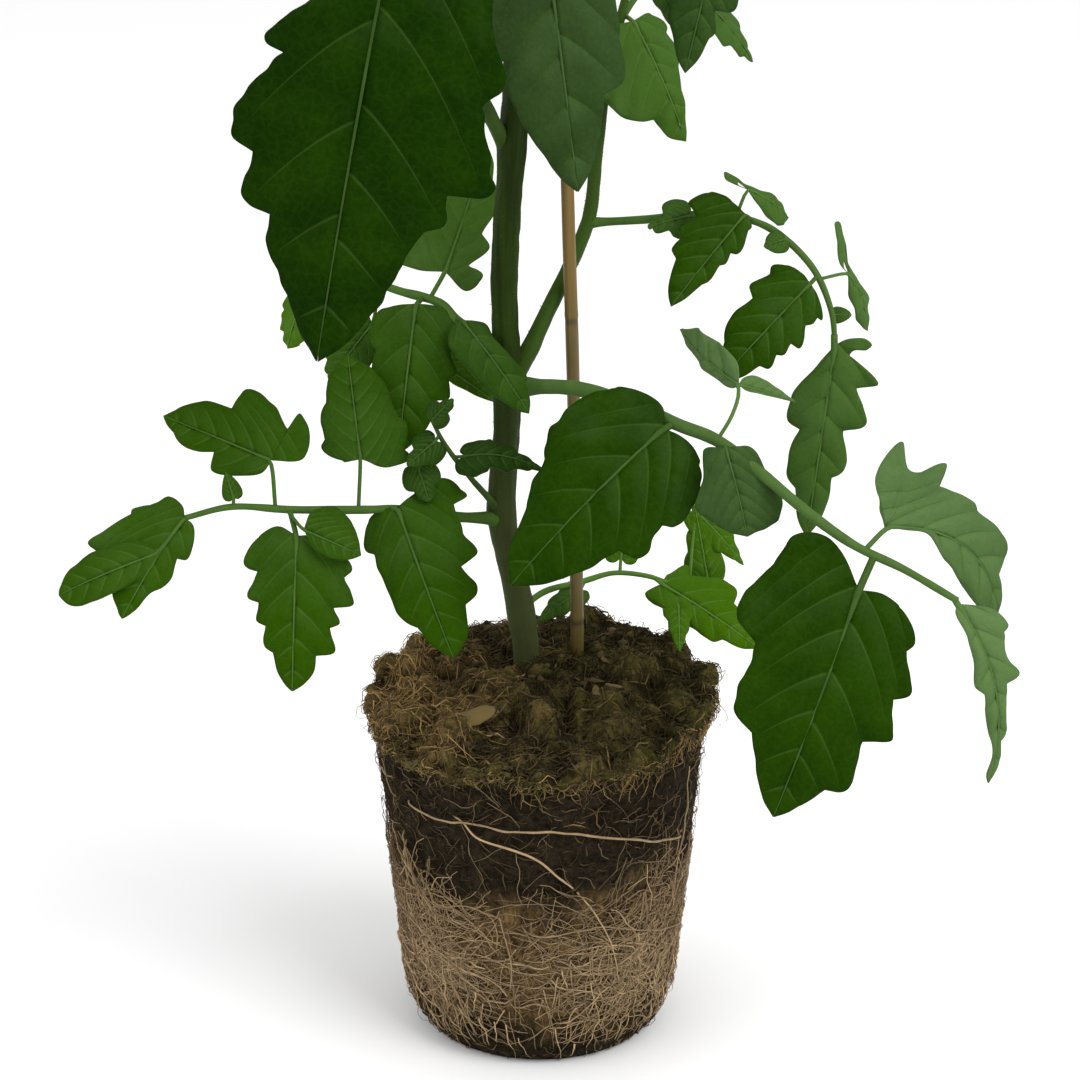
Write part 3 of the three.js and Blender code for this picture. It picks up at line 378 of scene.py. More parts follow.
# ------------------------------------------------------------------ noise
def lattice(cells, seed):
    """A draw from 0 to 1 for each whole-number cell: its three counts and the seed times large odd numbers,
    added up, folded on themselves and cut to sixteen bits."""
    c = cells.astype(np.int64)
    h = c[..., 0] * 374761393 + c[..., 1] * 668265263 + c[..., 2] * 1274126177 + seed * 362437
    h = ((h ^ (h >> 13)) & 0x7FFFFFFF) * 1274126177
    return ((h ^ (h >> 16)) & 0xFFFF) / 65535.0


def noise(points, size, seed=0):
    """Noise from -1 to 1: the draws of the eight cells about a point, blended by 3t^2 - 2t^3 along each
    axis, where t is how far into its cell the point lies."""
    p = np.asarray(points, float) / size
    low = np.floor(p)
    t = p - low
    t = t * t * (3 - 2 * t)
    total = 0.0
    for corner in np.ndindex(2, 2, 2):
        step = np.array(corner)
        total = total + np.prod(np.where(step, t, 1 - t), axis=-1) * lattice(low + step, seed)
    return 2 * total - 1


def clouds(points, size, octaves=3, seed=0):
    """Noises of halving size and strength, added up and brought back to about -1 to 1."""
    total = sum(noise(points, size / 2**k, seed + k) / 2**k for k in range(octaves))
    return total / (2 - 2.0 ** (1 - octaves))


def ramp(x, low, high):
    """0 below low, 1 above high, and 3t^2 - 2t^3 between."""
    t = np.clip((x - low) / (high - low), 0, 1)
    return t * t * (3 - 2 * t)


def unit(v):
    """The vectors over their own lengths."""
    return v / np.maximum(np.linalg.norm(v, axis=-1, keepdims=True), 1e-9)


# ------------------------------------------------------------------ paths
def hermite(a, b, slope_a, slope_b, t):
    """The cubic that leaves a along slope_a and reaches b along slope_b."""
    return (
        (2 * t**3 - 3 * t**2 + 1) * a
        + (t**3 - 2 * t**2 + t) * slope_a
        + (3 * t**2 - 2 * t**3) * b
        + (t**3 - t**2) * slope_b
    )


def distances(path):
    """How far along the path each of its points lies: the lengths between points, added up."""
    return np.concatenate([[0], np.cumsum(np.linalg.norm(np.diff(path, axis=0), axis=1))])


def evenly(path, count):
    """The path again as `count` points that are equally far apart along it."""
    along = distances(path)
    at = np.linspace(0, along[-1], count)
    return np.stack([np.interp(at, along, path[:, k]) for k in range(path.shape[1])], axis=1)


def flow(points, count=None, spacing=1.2):
    """A smooth path through the points: between each two a cubic whose slopes come from the neighbours,
    with knots as far apart as the square roots of the distances, so that it doesn't loop."""
    p = np.asarray(points, float)
    q = np.vstack([2 * p[0] - p[1], p, 2 * p[-1] - p[-2]])
    gap = np.sqrt(np.linalg.norm(np.diff(q, axis=0), axis=1))
    t = np.linspace(0, 1, 24, endpoint=False)[:, None]
    parts = []
    for k in range(len(p) - 1):
        a, b, c = gap[k : k + 3]
        leave = (q[k + 1] - q[k]) / a - (q[k + 2] - q[k]) / (a + b) + (q[k + 2] - q[k + 1]) / b
        reach = (q[k + 2] - q[k + 1]) / b - (q[k + 3] - q[k + 1]) / (b + c) + (q[k + 3] - q[k + 2]) / c
        parts.append(hermite(p[k], p[k + 1], b * leave, b * reach, t))
    dense = np.vstack([*parts, p[-1:]])
    return evenly(dense, count or max(4, int(distances(dense)[-1] / spacing)))


def along_radii(radii, count):
    """The radii, spread evenly over a path of `count` points, with straight runs between."""
    return np.interp(np.linspace(0, 1, count), np.linspace(0, 1, len(radii)), radii)


def arms(run, axis):
    """Two directions square to the run of a path: the axis less its part along the run, and one square to
    both."""
    first = unit(axis - (axis * run).sum(-1, keepdims=True) * run)
    return first, np.cross(run, first)


def rings(sides):
    """The angles of so many points round a ring."""
    return TAU * np.arange(sides) / sides


# ------------------------------------------------------------------ shells
def grid(rows, columns):
    """The numbers of a grid's points, row by row."""
    return np.arange(rows * columns).reshape(rows, columns)


def shell(points, quads=None, tris=None, finish=0, **values):
    """One closed surface: points in mm, faces of four and of three corners, which of the piece's finishes
    it has, and named values for its points."""
    count = len(points)
    return dict(
        points=np.asarray(points, float),
        quads=np.zeros((0, 4), int) if quads is None else np.asarray(quads, int).reshape(-1, 4),
        tris=np.zeros((0, 3), int) if tris is None else np.asarray(tris, int).reshape(-1, 3),
        finish=finish,
        values={key: np.broadcast_to(np.asarray(v, float), (count,)) for key, v in values.items()},
    )


def tubes(paths, radii, sides=8, finish=0, **values):
    """Round tubes, one for each path of K points. At every point a ring stands square to the path: its
    first arm is a fixed axis less its part along the path, its second is square to both, and its points
    are radius x (cosine x first arm + sine x second). Radii are one per tube, per point of each path or
    per point of each ring, and values one per tube or per point of each path. Both ends are closed."""
    paths = np.asarray(paths, float)
    n, k, _ = paths.shape
    run = unit(np.gradient(paths, axis=1))
    chord = np.abs(paths[:, -1] - paths[:, 0])
    axis = np.eye(3)[np.argmin(chord, axis=1)][:, None, :]
    first, second = arms(run, axis)
    a = rings(sides)
    ring = np.cos(a)[:, None] * first[:, :, None] + np.sin(a)[:, None] * second[:, :, None]
    radii = np.asarray(radii, float)
    radii = radii.reshape(radii.shape + (1,) * (3 - radii.ndim)) * np.ones((n, k, sides))
    skin = (paths[:, :, None] + radii[..., None] * ring).reshape(n, k * sides, 3)
    points = np.concatenate([skin, paths[:, :1], paths[:, -1:]], axis=1)

    i, j = np.meshgrid(np.arange(k - 1), np.arange(sides), indexing="ij")
    here, across = i * sides + j, i * sides + (j + 1) % sides
    quads = np.stack([here, across, across + sides, here + sides], -1).reshape(-1, 4)
    j = np.arange(sides)
    last = (k - 1) * sides
    start = np.stack([np.full(sides, k * sides), (j + 1) % sides, j], -1)
    end = np.stack([np.full(sides, k * sides + 1), last + j, last + (j + 1) % sides], -1)
    tris = np.concatenate([start, end])
    shift = (np.arange(n) * points.shape[1])[:, None, None]

    spread = {}
    for key, v in values.items():
        v = np.asarray(v, float)
        v = v.reshape(v.shape + (1,) * (3 - v.ndim)) * np.ones((n, k, sides))
        spread[key] = np.concatenate([v.reshape(n, -1), v[:, 0, :1], v[:, -1, :1]], axis=1).ravel()
    return shell(points.reshape(-1, 3), quads + shift, tris + shift, finish, **spread)


def lay(name, shells, finishes, nodes=()):
    """Writes the shells as one smooth mesh at the origin, with their values as attributes, and tells the
    frame which body it rides on and the nodes that it replaces."""
    starts = np.cumsum([0] + [len(s["points"]) for s in shells[:-1]])
    points = np.vstack([s["points"] for s in shells]) * MM
    quads = np.vstack([s["quads"] + at for s, at in zip(shells, starts)])
    tris = np.vstack([s["tris"] + at for s, at in zip(shells, starts)])
    counts = np.concatenate([np.full(len(quads), 4), np.full(len(tris), 3)])
    looks = [np.full(len(s["quads"]), s["finish"]) for s in shells]
    looks += [np.full(len(s["tris"]), s["finish"]) for s in shells]

    mesh = bpy.data.meshes.new(name)
    mesh.vertices.add(len(points))
    mesh.vertices.foreach_set("co", points.astype(np.float32).ravel())
    mesh.loops.add(int(counts.sum()))
    mesh.loops.foreach_set("vertex_index", np.concatenate([quads.ravel(), tris.ravel()]).astype(np.int32))
    mesh.polygons.add(len(counts))
    mesh.polygons.foreach_set("loop_start", (np.cumsum(counts) - counts).astype(np.int32))
    for finish in finishes:
        mesh.materials.append(finish)
    mesh.polygons.foreach_set("material_index", np.concatenate(looks).astype(np.int32))
    mesh.update(calc_edges=True)
    for key in sorted({key for s in shells for key in s["values"]}):
        value = np.concatenate([s["values"].get(key, np.zeros(len(s["points"]))) for s in shells])
        layer = mesh.attributes.new(key, "FLOAT", "POINT")
        layer.data.foreach_set("value", value.astype(np.float32))
    mesh.shade_smooth()

    piece = bpy.data.objects.new(name, mesh)
    bpy.context.scene.collection.objects.link(piece)
    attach(piece, "root")
    if nodes:
        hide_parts(*nodes)


# ------------------------------------------------------------------ leaf blades
def common_margin(leaf, seed, side):
    """A common leaflet's margin: a round foot, then teeth. Tooth j of n starts a share (j + 0.75) / n of
    the way to the last tooth's place and reaches out along a vein that leans more to the tip the further
    along it sits."""
    width, length = leaf["width"], np.linalg.norm(leaf["tip"] - leaf["base"])
    teeth = 4 if length > 28 else 3 if length > 14 else 2 if length > 9 else 1
    margin = [(-0.1, 0.2 * width), (-0.08, 0.36 * width)]
    for j in range(teeth):
        s = LAST_TOOTH * (j + 0.75) / teeth
        slant = math.radians(78 - 46 * s**0.8)
        reach = (0.8 + 1.6 * s) * (1 - s) ** 1.15
        far = 0.62 * width * reach * (0.92 + 0.16 * draw(seed + side, j))
        cut = leaf["depth"] * (0.6 + 0.8 * draw(seed + side, j + 20))
        margin.append((s + far * math.cos(slant), far * math.sin(slant), cut))
    return margin


def fine_margin(margin, step):
    """The margin as a curve with points `step` apart, and where its teeth reach. Between two notches it
    swings through the points with slopes from their neighbours, and it breaks at each notch. One more
    point between the last one and the tip rounds the tip."""
    points, breaks, teeth = [(0.0, 0.0)], [0], []
    u, w = margin[-1][:2]
    stops = [*margin, (u + TIP_POINT[0] * (1 - u), TIP_POINT[1] * w), (1.0, 0.002)]
    for stop, after in zip(stops[:-1], stops[1:]):
        points.append(stop[:2])
        if len(stop) > 2 and stop[2]:
            teeth.append(stop[:2])
            notch = (
                stop[0] + (after[0] - stop[0]) * NOTCH_PLACE,
                (stop[1] + (after[1] - stop[1]) * NOTCH_PLACE) * (1 - stop[2]),
            )
            breaks.append(len(points))
            points.append(notch)
    points.append(stops[-1])
    breaks.append(len(points) - 1)
    p = np.array(points, float)
    parts = []
    for start, end in zip(breaks[:-1], breaks[1:]):
        q = p[start : end + 1]
        gap = np.linalg.norm(np.diff(q, axis=0), axis=1)
        straight = np.repeat((q[1:2] - q[:1]) / gap[0], 2, axis=0)
        slope = np.gradient(q, distances(q), axis=0) if len(q) > 2 else straight
        for k in range(len(gap)):
            t = np.linspace(0, 1, max(2, math.ceil(gap[k] / step)), endpoint=False)[:, None]
            parts.append(hermite(q[k], q[k + 1], slope[k] * gap[k], slope[k + 1] * gap[k], t))
    return np.vstack([*parts, p[-1:]])[1:], np.array(teeth or [p[len(p) // 2]])


class Blade:
    """A leaflet's surface: base + along x L u + up x arch x L x 4u(1 - u) + across x (the same with bend)
    + across x FULLNESS x L w + normal x fold x L |w|, for u along the midrib and w out to the right, both
    as shares of its length L. Along runs from base to tip, up is the face's way and across is square to
    both."""

    def __init__(self, leaf):
        self.leaf = leaf
        chord = leaf["tip"] - leaf["base"]
        self.length = float(np.linalg.norm(chord))
        self.along = chord / self.length
        self.up = unit(leaf["face"] - self.along * (leaf["face"] @ self.along))
        self.across = np.cross(self.along, self.up)
        self.thick = float(np.clip(self.length * 0.018, 0.5, 1.05))

    def at(self, u, w, lift=0.0):
        """The points at u and w, lifted by that many mm along the surface's normals, and the normals."""
        leaf, length = self.leaf, self.length
        u, w, lift = (np.asarray(x, float)[..., None] for x in np.broadcast_arrays(u, w, lift))
        bow = 4 * np.maximum(u, 0) * (1 - u)
        slope = np.where(u > 0, 4 * (1 - 2 * u), 0.0)
        forward = unit(self.along + self.up * leaf["arch"] * slope + self.across * leaf["bend"] * slope)
        normal = unit(np.cross(self.across, forward))
        point = (
            leaf["base"]
            + self.along * length * u
            + (self.up * leaf["arch"] + self.across * leaf["bend"]) * length * bow
            + self.across * length * w * FULLNESS
            + normal * (length * leaf["fold"] * np.abs(w) + lift)
        )
        return point, normal


def vein_feet(raw_teeth):
    """Where the side veins leave the midrib: one for each tooth, thinned where two are close and filled in
    where there is room for another."""
    feet = [-0.02]
    for foot in sorted(raw_teeth):
        if foot - feet[-1] > 0.1 and foot < LAST_TOOTH:
            feet.append(foot)
    feet.append(LAST_TOOTH)
    full = []
    for a, b in zip(feet[:-1], feet[1:]):
        share = max(1, round((b - a) / 0.19))
        full += [a + (b - a) * k / share for k in range(share)]
    full.append(feet[-1])
    return np.array([full[0] - 0.6, full[0] - 0.3, full[0] - 0.13, *full, 1.2])


def vein_foot(u, w):
    """Where on the midrib the side vein through a point starts: u less the lean times w and the sweep times
    w^2, because the veins run forward as they run out."""
    return u - VEIN_LEAN * w - VEIN_SWEEP * w**2


def rib_radius(thick, u):
    """A midrib's radius at a share u of the way along it: it thins, and a little is left at the tip."""
    return thick * (1 - u) ** 0.8 * RIB_SHARE + RIB_TIP


def half_blade(blade, side, seed, step, thickness):
    """One half of a blade as a thin closed shell. Columns run from the midrib to the margin, so that
    u = foot + (margin - foot) v^1.2 and w = margin v for a share v of the way out. The surface swells
    between side veins, dips along them, ripples, and curls down at its rim, less so where it is narrow."""
    leaf, length = blade.leaf, blade.length
    margin = leaf["right" if side > 0 else "left"] or common_margin(leaf, seed, side)
    edge, teeth = fine_margin(margin, step / length)
    out = edge[:, 1] * (1 + 0.03 * noise(np.c_[edge * length / 3.5, np.full(len(edge), seed)], 1.0, 7))
    raw = np.maximum.accumulate(edge[:, 0] - VEIN_SLANT * edge[:, 1])
    foot = np.clip(raw, 0, 0.96)
    feet = vein_feet(vein_foot(teeth[:, 0], teeth[:, 1]))
    rows = int(np.clip(edge[:, 1].max() * length / 1.35, 5, 16))
    gap = np.minimum(0.18, 0.45 * rib_radius(blade.thick, foot))
    start = np.clip(gap / np.maximum(out * length, 0.2), 0.004, 0.5)[:, None]
    v = start + (1 - start) * np.linspace(0, 1, rows + 1) ** 0.9
    u = foot[:, None] + (edge[:, :1] - foot[:, None]) * v**1.2
    w = side * out[:, None] * v
    origin = vein_foot(u, np.abs(w))
    phase = np.interp(origin, feet, np.arange(len(feet)))
    spacing = np.interp(origin, (feet[1:] + feet[:-1]) / 2, np.diff(feet)) * length * 0.75
    swell = np.abs(np.sin(np.pi * phase)) ** 0.8 * (v * (1.15 - v)) ** 0.6
    groove = np.exp(-((np.abs(phase - np.round(phase)) * spacing / 0.7) ** 2)) * (1 - 0.6 * v)
    flat = np.stack([u * length, w * length, np.full_like(u, seed * 3.1)], -1)
    size = min(1.0, length / 60)
    ripple = 0.35 * size * noise(flat, 7.0 * max(size, 0.5), 3) + 0.16 * noise(flat, 2.6, 4)
    wave = np.sin(TAU * (phase * 0.5 + draw(seed, 5))) * v**3 * 0.9 * size
    relief = size * swell - 0.3 * groove * size + ripple + wave - 1.1 * size * v**4
    top, normal = blade.at(u, w, relief * np.clip(out * length / 2.5, 0, 1)[:, None])
    under = top - normal * thickness

    here = grid(len(edge), rows + 1)
    a, b, c, d = here[:-1, :-1], here[:-1, 1:], here[1:, 1:], here[1:, :-1]
    face = np.stack([a, b, c, d], -1).reshape(-1, 4)
    loop = np.concatenate([here[:-1, -1], here[-1, :0:-1], here[:0:-1, 0], here[0, :-1]])
    count = here.size
    after = np.roll(loop, -1)
    rim = np.stack([loop, loop + count, after + count, after], -1)
    quads = np.vstack([face, face[:, ::-1] + count, rim])
    if side < 0:
        quads = quads[:, ::-1]
    both = dict(phase=phase, out=v, spacing=spacing, run=u * length, wide=w * length)
    values = {key: np.tile(value.ravel(), 2) for key, value in both.items()}
    values["under"] = np.repeat([0.0, 1.0], count)
    points = np.vstack([top.reshape(-1, 3), under.reshape(-1, 3)])
    return shell(points, quads, tone=leaf["tone"], pale=leaf["pale"], pick=draw(seed, 9), **values)


def leaf_shells(leaf, number, settings):
    """A whole leaf: its stalk, which widens to a collar at its foot, and for each leaflet two half blades
    and a midrib that runs on from the leaflet's own small stalk, part sunk in the upper face and thinning
    to the tip."""
    stalk = flow(leaf["path"], spacing=1.0)
    swell = 1 + 0.1 * noise(stalk, 5.0, number)
    collar = 1 + 0.5 * np.exp(-np.linspace(0, 1, len(stalk)) / 0.03)
    radii = along_radii(leaf["radii"], len(stalk)) * swell * collar
    tone = float(np.mean([one["tone"] for one in leaf["leaflets"]]))
    # The stalk takes its leaflets' mean paleness, which is partly painted sheen.
    pale = float(np.mean([one["pale"] for one in leaf["leaflets"]]))
    shells = [tubes(stalk[None], radii[None], 12, 1, tone=tone, pale=pale)]
    for k, one in enumerate(leaf["leaflets"]):
        seed = number * 10 + k
        blade = Blade(one)
        step = settings.margin_step / MM
        for side in (1, -1):
            shells.append(half_blade(blade, side, seed, step, settings.blade_thickness / MM))
        back = one["base"] - blade.along * 3
        nearest = stalk[np.argmin(np.linalg.norm(stalk - back, axis=1))]
        lead = np.array(one["by"] or [nearest], float)
        u = np.linspace(0.02, 0.997, max(6, int(blade.length / 2)))
        rib, _ = blade.at(u, 0.0, 0.14 - rib_radius(blade.thick, u) * 0.7)
        path = flow(np.vstack([lead, rib]), count=max(12, int(blade.length / 1.2)))
        gap = distances(np.vstack([lead, rib[:1]]))[-1]
        share = np.clip((distances(path) - gap) / blade.length, 0, 1)
        width = rib_radius(blade.thick, share)
        width = np.where(share < 0.12, blade.thick + (width - blade.thick) * share / 0.12, width)
        shells.append(tubes(path[None], width[None], 8, 1, tone=one["tone"], pale=one["pale"]))
    return shells


# ------------------------------------------------------------------ root ball
def wall(z):
    """The radius of what was the pot's wall: a straight run from the base's radius to the top's."""
    return BALL_BASE_RADIUS + (BALL_TOP_RADIUS - BALL_BASE_RADIUS) * z / BALL_HEIGHT


def ball_rows(a):
    """The ball's outline at each angle as (radius, height): out along the underside, up the wall less the
    hollows that three waves make, round the rim, and in over the mound, which leans and has tufts."""
    flat = np.ones_like(a)
    rows = [(2 * flat, 0 * flat), (16 * flat, 0 * flat), (FLAT_RADIUS * flat, 0 * flat)]
    rows.append(((BALL_BASE_RADIUS - 1.6) * flat, 3.4 * flat))
    for z in np.linspace(9, BALL_HEIGHT - 4, 8):
        waves = np.sin(3 * a + 0.09 * z) + np.sin(7 * a - 0.13 * z + 1) + np.sin(11 * a + 0.21 * z + 2)
        rows.append((wall(z) - LUMP * (0.5 + waves / 6), z * flat))
    for i, r in enumerate((RIM_RADIUS, 48.5, 40, 27, 13, 2)):
        far = r + (1.5 * np.sin(5 * a + 1) if i == 0 else 0 * a)
        x, y = far * np.cos(a), far * np.sin(a)
        tuft = np.sin(0.31 * x + 0.17 * y) + np.sin(0.23 * y - 0.29 * x + 1.3) + np.sin(0.41 * y + 2.1)
        rise = MOUND * (1 - (r / RIM_RADIUS) ** 3) + TILT * (y + x / 2)
        rows.append((far, BALL_HEIGHT + RIM + rise + TUFT * tuft / 3))
    return np.array(rows)


class Ball:
    """The root ball's skin as a grid: row by row from the middle of the underside to the middle of the top,
    about a millimetre apart, and round each row. Moved along its normals: the side by soft noise that
    mostly sinks it, the top by cushions, which are high where a noise is far from 0 and creased where it
    is near 0."""

    def __init__(self, around, grain):
        self.a = rings(around)
        rows = ball_rows(self.a)
        along = distances(rows.mean(axis=2))
        at = np.linspace(0, along[-1], int(along[-1] / grain))
        self.step = at[1] - at[0]
        k = np.clip(np.searchsorted(along, at, "right") - 1, 0, len(along) - 2)
        f = ((at - along[k]) / (along[k + 1] - along[k]))[:, None, None]
        radius, height = np.moveaxis(rows[k] * (1 - f) + rows[k + 1] * f, 1, 0)
        self.points = np.stack([radius * np.cos(self.a), radius * np.sin(self.a), height], -1)
        rim = along[12]
        self.top = ramp(at, rim - 5, rim + 3)[:, None] * np.ones(around)
        self.base = ramp(at, along[2] - 1, along[3] + 2)[:, None] * np.ones(around)
        p = self.points
        side = 0.5 * clouds(p, 9, 3, 1) + 0.85 * clouds(p, 2.6, 2, 5) - 0.55
        cushion = sum(high * np.abs(clouds(p, size, 2, seed)) for high, size, seed in CUSHIONS)
        cushion = cushion - CUSHION_SINK
        crumb = clouds(p, 1.9, 2, 21)
        lift = side * (1 - self.top) + (cushion + crumb) * self.top
        # How low each place lies in a crease of the top or a hollow of the side: the finishes and threads
        # paint shade there.
        self.low = ramp(-lift, 0.0, 2.0) * self.top + ramp(-side, 0.3, 1.4) * (1 - self.top)
        self.normals = self.skin_normals()
        self.points = p + self.normals * (lift * self.base)[..., None]
        self.points[..., 2] = np.maximum(self.points[..., 2], 0)
        self.normals = self.skin_normals()
        self.radius = np.hypot(self.points[..., 0], self.points[..., 1]).mean(axis=1)
        self.height = self.points[..., 2].mean(axis=1)
        self.rim_row = int(np.argmax(self.radius))

    def skin_normals(self):
        """The cross of the grid's two directions at each point."""
        up = np.gradient(self.points, axis=0)
        about = np.roll(self.points, -1, axis=1) - np.roll(self.points, 1, axis=1)
        return unit(np.cross(about, up))

    def row_at_height(self, z):
        """The row on the side at that height."""
        rows = np.arange(self.rim_row)
        return np.interp(z, np.maximum.accumulate(self.height[rows]), rows)

    def row_at_radius(self, r):
        """The row on the top at that distance from the middle."""
        rows = np.arange(len(self.radius) - 1, self.rim_row, -1)
        return np.interp(r, self.radius[rows], rows)

    def crease_shade_at(self, angle, row):
        """How far down in a crease those places lie, from the grid's nearest points: how much painted shade
        they take.
        """
        j = np.mod(angle, TAU) / TAU * len(self.a)
        i = np.clip(np.rint(row), 0, len(self.low) - 1)
        return self.low[i.astype(int), j.astype(int) % len(self.a)]

    def at(self, angle, row, lift=0.0):
        """Points over the skin at those angles and rows, blended from the grid's four nearest, and lifted
        along the blended normals."""
        around = len(self.a)
        j = np.mod(angle, TAU) / TAU * around
        i = np.clip(row, 0, len(self.points) - 1.001)
        i0, j0 = np.floor(i).astype(int), np.floor(j).astype(int)
        fi, fj = (i - i0)[..., None], (j - j0)[..., None]
        j0, j1 = j0 % around, (j0 + 1) % around

        def blend(grid):
            low = grid[i0, j0] * (1 - fj) + grid[i0, j1] * fj
            high = grid[i0 + 1, j0] * (1 - fj) + grid[i0 + 1, j1] * fj
            return low * (1 - fi) + high * fi

        return blend(self.points) + unit(blend(self.normals)) * np.asarray(lift)[..., None]

    def shell(self):
        """The skin as one closed surface, with a point at each pole."""
        n, around, _ = self.points.shape
        here, count = grid(n, around), n * around
        after = np.roll(here, -1, axis=1)
        quads = np.stack([here[:-1], after[:-1], after[1:], here[1:]], -1).reshape(-1, 4)
        poles = np.array([[0, 0, 0], self.points[-1].mean(axis=0)])
        low = np.stack([np.full(around, count), after[0], here[0]], -1)
        high = np.stack([np.full(around, count + 1), here[-1], after[-1]], -1)
        points = np.vstack([self.points.reshape(-1, 3), poles])
        moss = moss_cover(points, np.append(self.top.ravel(), (0, 1)))
        # The crease depth goes with the skin as its painted shade.
        crease_shade = np.append(self.low.ravel(), (0, 0))
        return shell(points, quads, np.vstack([low, high]), moss=moss, low=crease_shade)


def moss_cover(points, top):
    """How mossy a place is: all of the top, and down the side to a ragged edge that hangs lowest at the
    front right."""
    angle = np.arctan2(points[:, 1], points[:, 0])
    hang = 0.5 + 3.5 * np.exp(-(((angle + 1.15) / 0.6) ** 2)) + 3 * noise(points, 7, 31)
    side = ramp(points[:, 2], BALL_HEIGHT - hang - 2, BALL_HEIGHT - hang + 2)
    return np.maximum(top, side)


def wander(ball, draws, angle, row, heading, length, curl, points, lift):
    """Paths over the ball. Each leaves its start at its heading (0 goes round, a quarter turn goes up) and
    turns evenly by its curl, with a small sway, over its length. Lifts are one per path and point."""
    s = np.linspace(0, 1, points)
    turns = draws.uniform(0.5, 1.4, (len(angle), 1))
    sway = 0.3 * np.sin(TAU * (s * turns + draws.random((len(angle), 1))))
    way = heading[:, None] + curl[:, None] * (s - 0.5) + sway
    stride = (length / (points - 1))[:, None]
    radius = np.maximum(np.interp(row, np.arange(len(ball.radius)), ball.radius), 6)[:, None]
    go_round = np.cumsum(np.cos(way) * stride, axis=1) / radius
    go_up = np.cumsum(np.sin(way) * stride, axis=1) / ball.step
    return ball.at(angle[:, None] + go_round, np.minimum(row[:, None] + go_up, len(ball.radius) - 4), lift)


def strands(ball, seed, angle, row, heading, length, curl, radius, lift, stand, points, moss, shade):
    """Threads that wander over the ball: lift is how high they lie, stand how far they arch up in a sine
    or, for one in four, lift off to a free tip. They thin to their tips."""
    draws = np.random.default_rng(seed)
    n = len(angle)
    s = np.linspace(0, 1, points)
    free = draws.random((n, 1)) < 0.25
    rise = np.where(free, s**1.6, np.sin(np.pi * s))
    height = lift[:, None] + stand[:, None] * rise
    paths = wander(ball, draws, angle, row, heading, length, curl, points, height)
    paths[..., 2] = np.maximum(paths[..., 2], 0.3)
    thin = radius[:, None] * (1 - 0.6 * s**2)
    return tubes(paths, thin, 3, moss=moss, shade=shade)


def lumps(centres, sizes, seed, **values):
    """Crumbs of twenty faces: an icosahedron's corners, each drawn in or out, and flattened a little."""
    g = (1 + 5**0.5) / 2
    corners = unit(np.array([(-1, g, 0), (1, g, 0), (-1, -g, 0), (1, -g, 0), (0, -1, g), (0, 1, g),
                             (0, -1, -g), (0, 1, -g), (g, 0, -1), (g, 0, 1), (-g, 0, -1), (-g, 0, 1)]))
    faces = np.array([(0, 11, 5), (0, 5, 1), (0, 1, 7), (0, 7, 10), (0, 10, 11), (1, 5, 9), (5, 11, 4),
                      (11, 10, 2), (10, 7, 6), (7, 1, 8), (3, 9, 4), (3, 4, 2), (3, 2, 6), (3, 6, 8),
                      (3, 8, 9), (4, 9, 5), (2, 4, 11), (6, 2, 10), (8, 6, 7), (9, 8, 1)])
    draws = np.random.default_rng(seed)
    n = len(centres)
    size = sizes[:, None, None] * draws.uniform(0.6, 1.25, (n, 12, 1))
    points = centres[:, None] + corners * size * np.array([1, 1, 0.7])
    tris = faces + (np.arange(n) * 12)[:, None, None]
    spread = {key: np.repeat(v, 12) for key, v in values.items()}
    return shell(points.reshape(-1, 3), None, tris, **spread)


def flake(centre, normal, heading, length, width, seed, **values):
    """A curled dry flake: a thin closed plate whose outline is an ellipse with a ragged rim and whose
    surface bows as a parabola across it."""
    normal = unit(np.array(normal, float))
    side = unit(np.cross(normal, [math.cos(heading), math.sin(heading), 0.0]))
    ahead = np.cross(side, normal)
    around = 22
    a = rings(around)
    ring = 1 + 0.25 * noise(np.c_[np.cos(a) * 2, np.sin(a) * 2, np.full(around, seed)], 1.0, 3)
    r = np.linspace(0.08, 1, 6)[:, None] * ring
    x, y = r * np.cos(a) * length / 2, r * np.sin(a) * width / 2
    bow = -0.9 * (y / width) ** 2 * width + 0.5 * noise(np.stack([x, y, 0 * x + seed], -1), 3.0, 9)
    top = np.array(centre) + x[..., None] * ahead + y[..., None] * side + bow[..., None] * normal
    under = top - normal * 0.5
    here, count = grid(len(x), around), x.size
    after = np.roll(here, -1, axis=1)
    quads = np.stack([here[:-1], here[1:], after[1:], after[:-1]], -1).reshape(-1, 4)
    rim = np.stack([here[-1], here[-1] + count, after[-1] + count, after[-1]], -1)
    middle = np.array([top[0].mean(axis=0), under[0].mean(axis=0)])
    fan = np.stack([np.full(around, 2 * count), here[0], after[0]], -1)
    back = np.stack([np.full(around, 2 * count + 1), after[0] + count, here[0] + count], -1)
    points = np.vstack([top.reshape(-1, 3), under.reshape(-1, 3), middle])
    return shell(points, np.vstack([quads, quads[:, ::-1] + count, rim]), np.vstack([fan, back]), **values)


# ------------------------------------------------------------------ finishes
def tint(red, green, blue):
    """A colour from its screen values, 0 to 255, in the linear light that shaders take."""
    return tuple(
        round(((c / 255 + 0.055) / 1.055) ** 2.4 if c > 10 else c / 3295, 5) for c in (red, green, blue)
    )


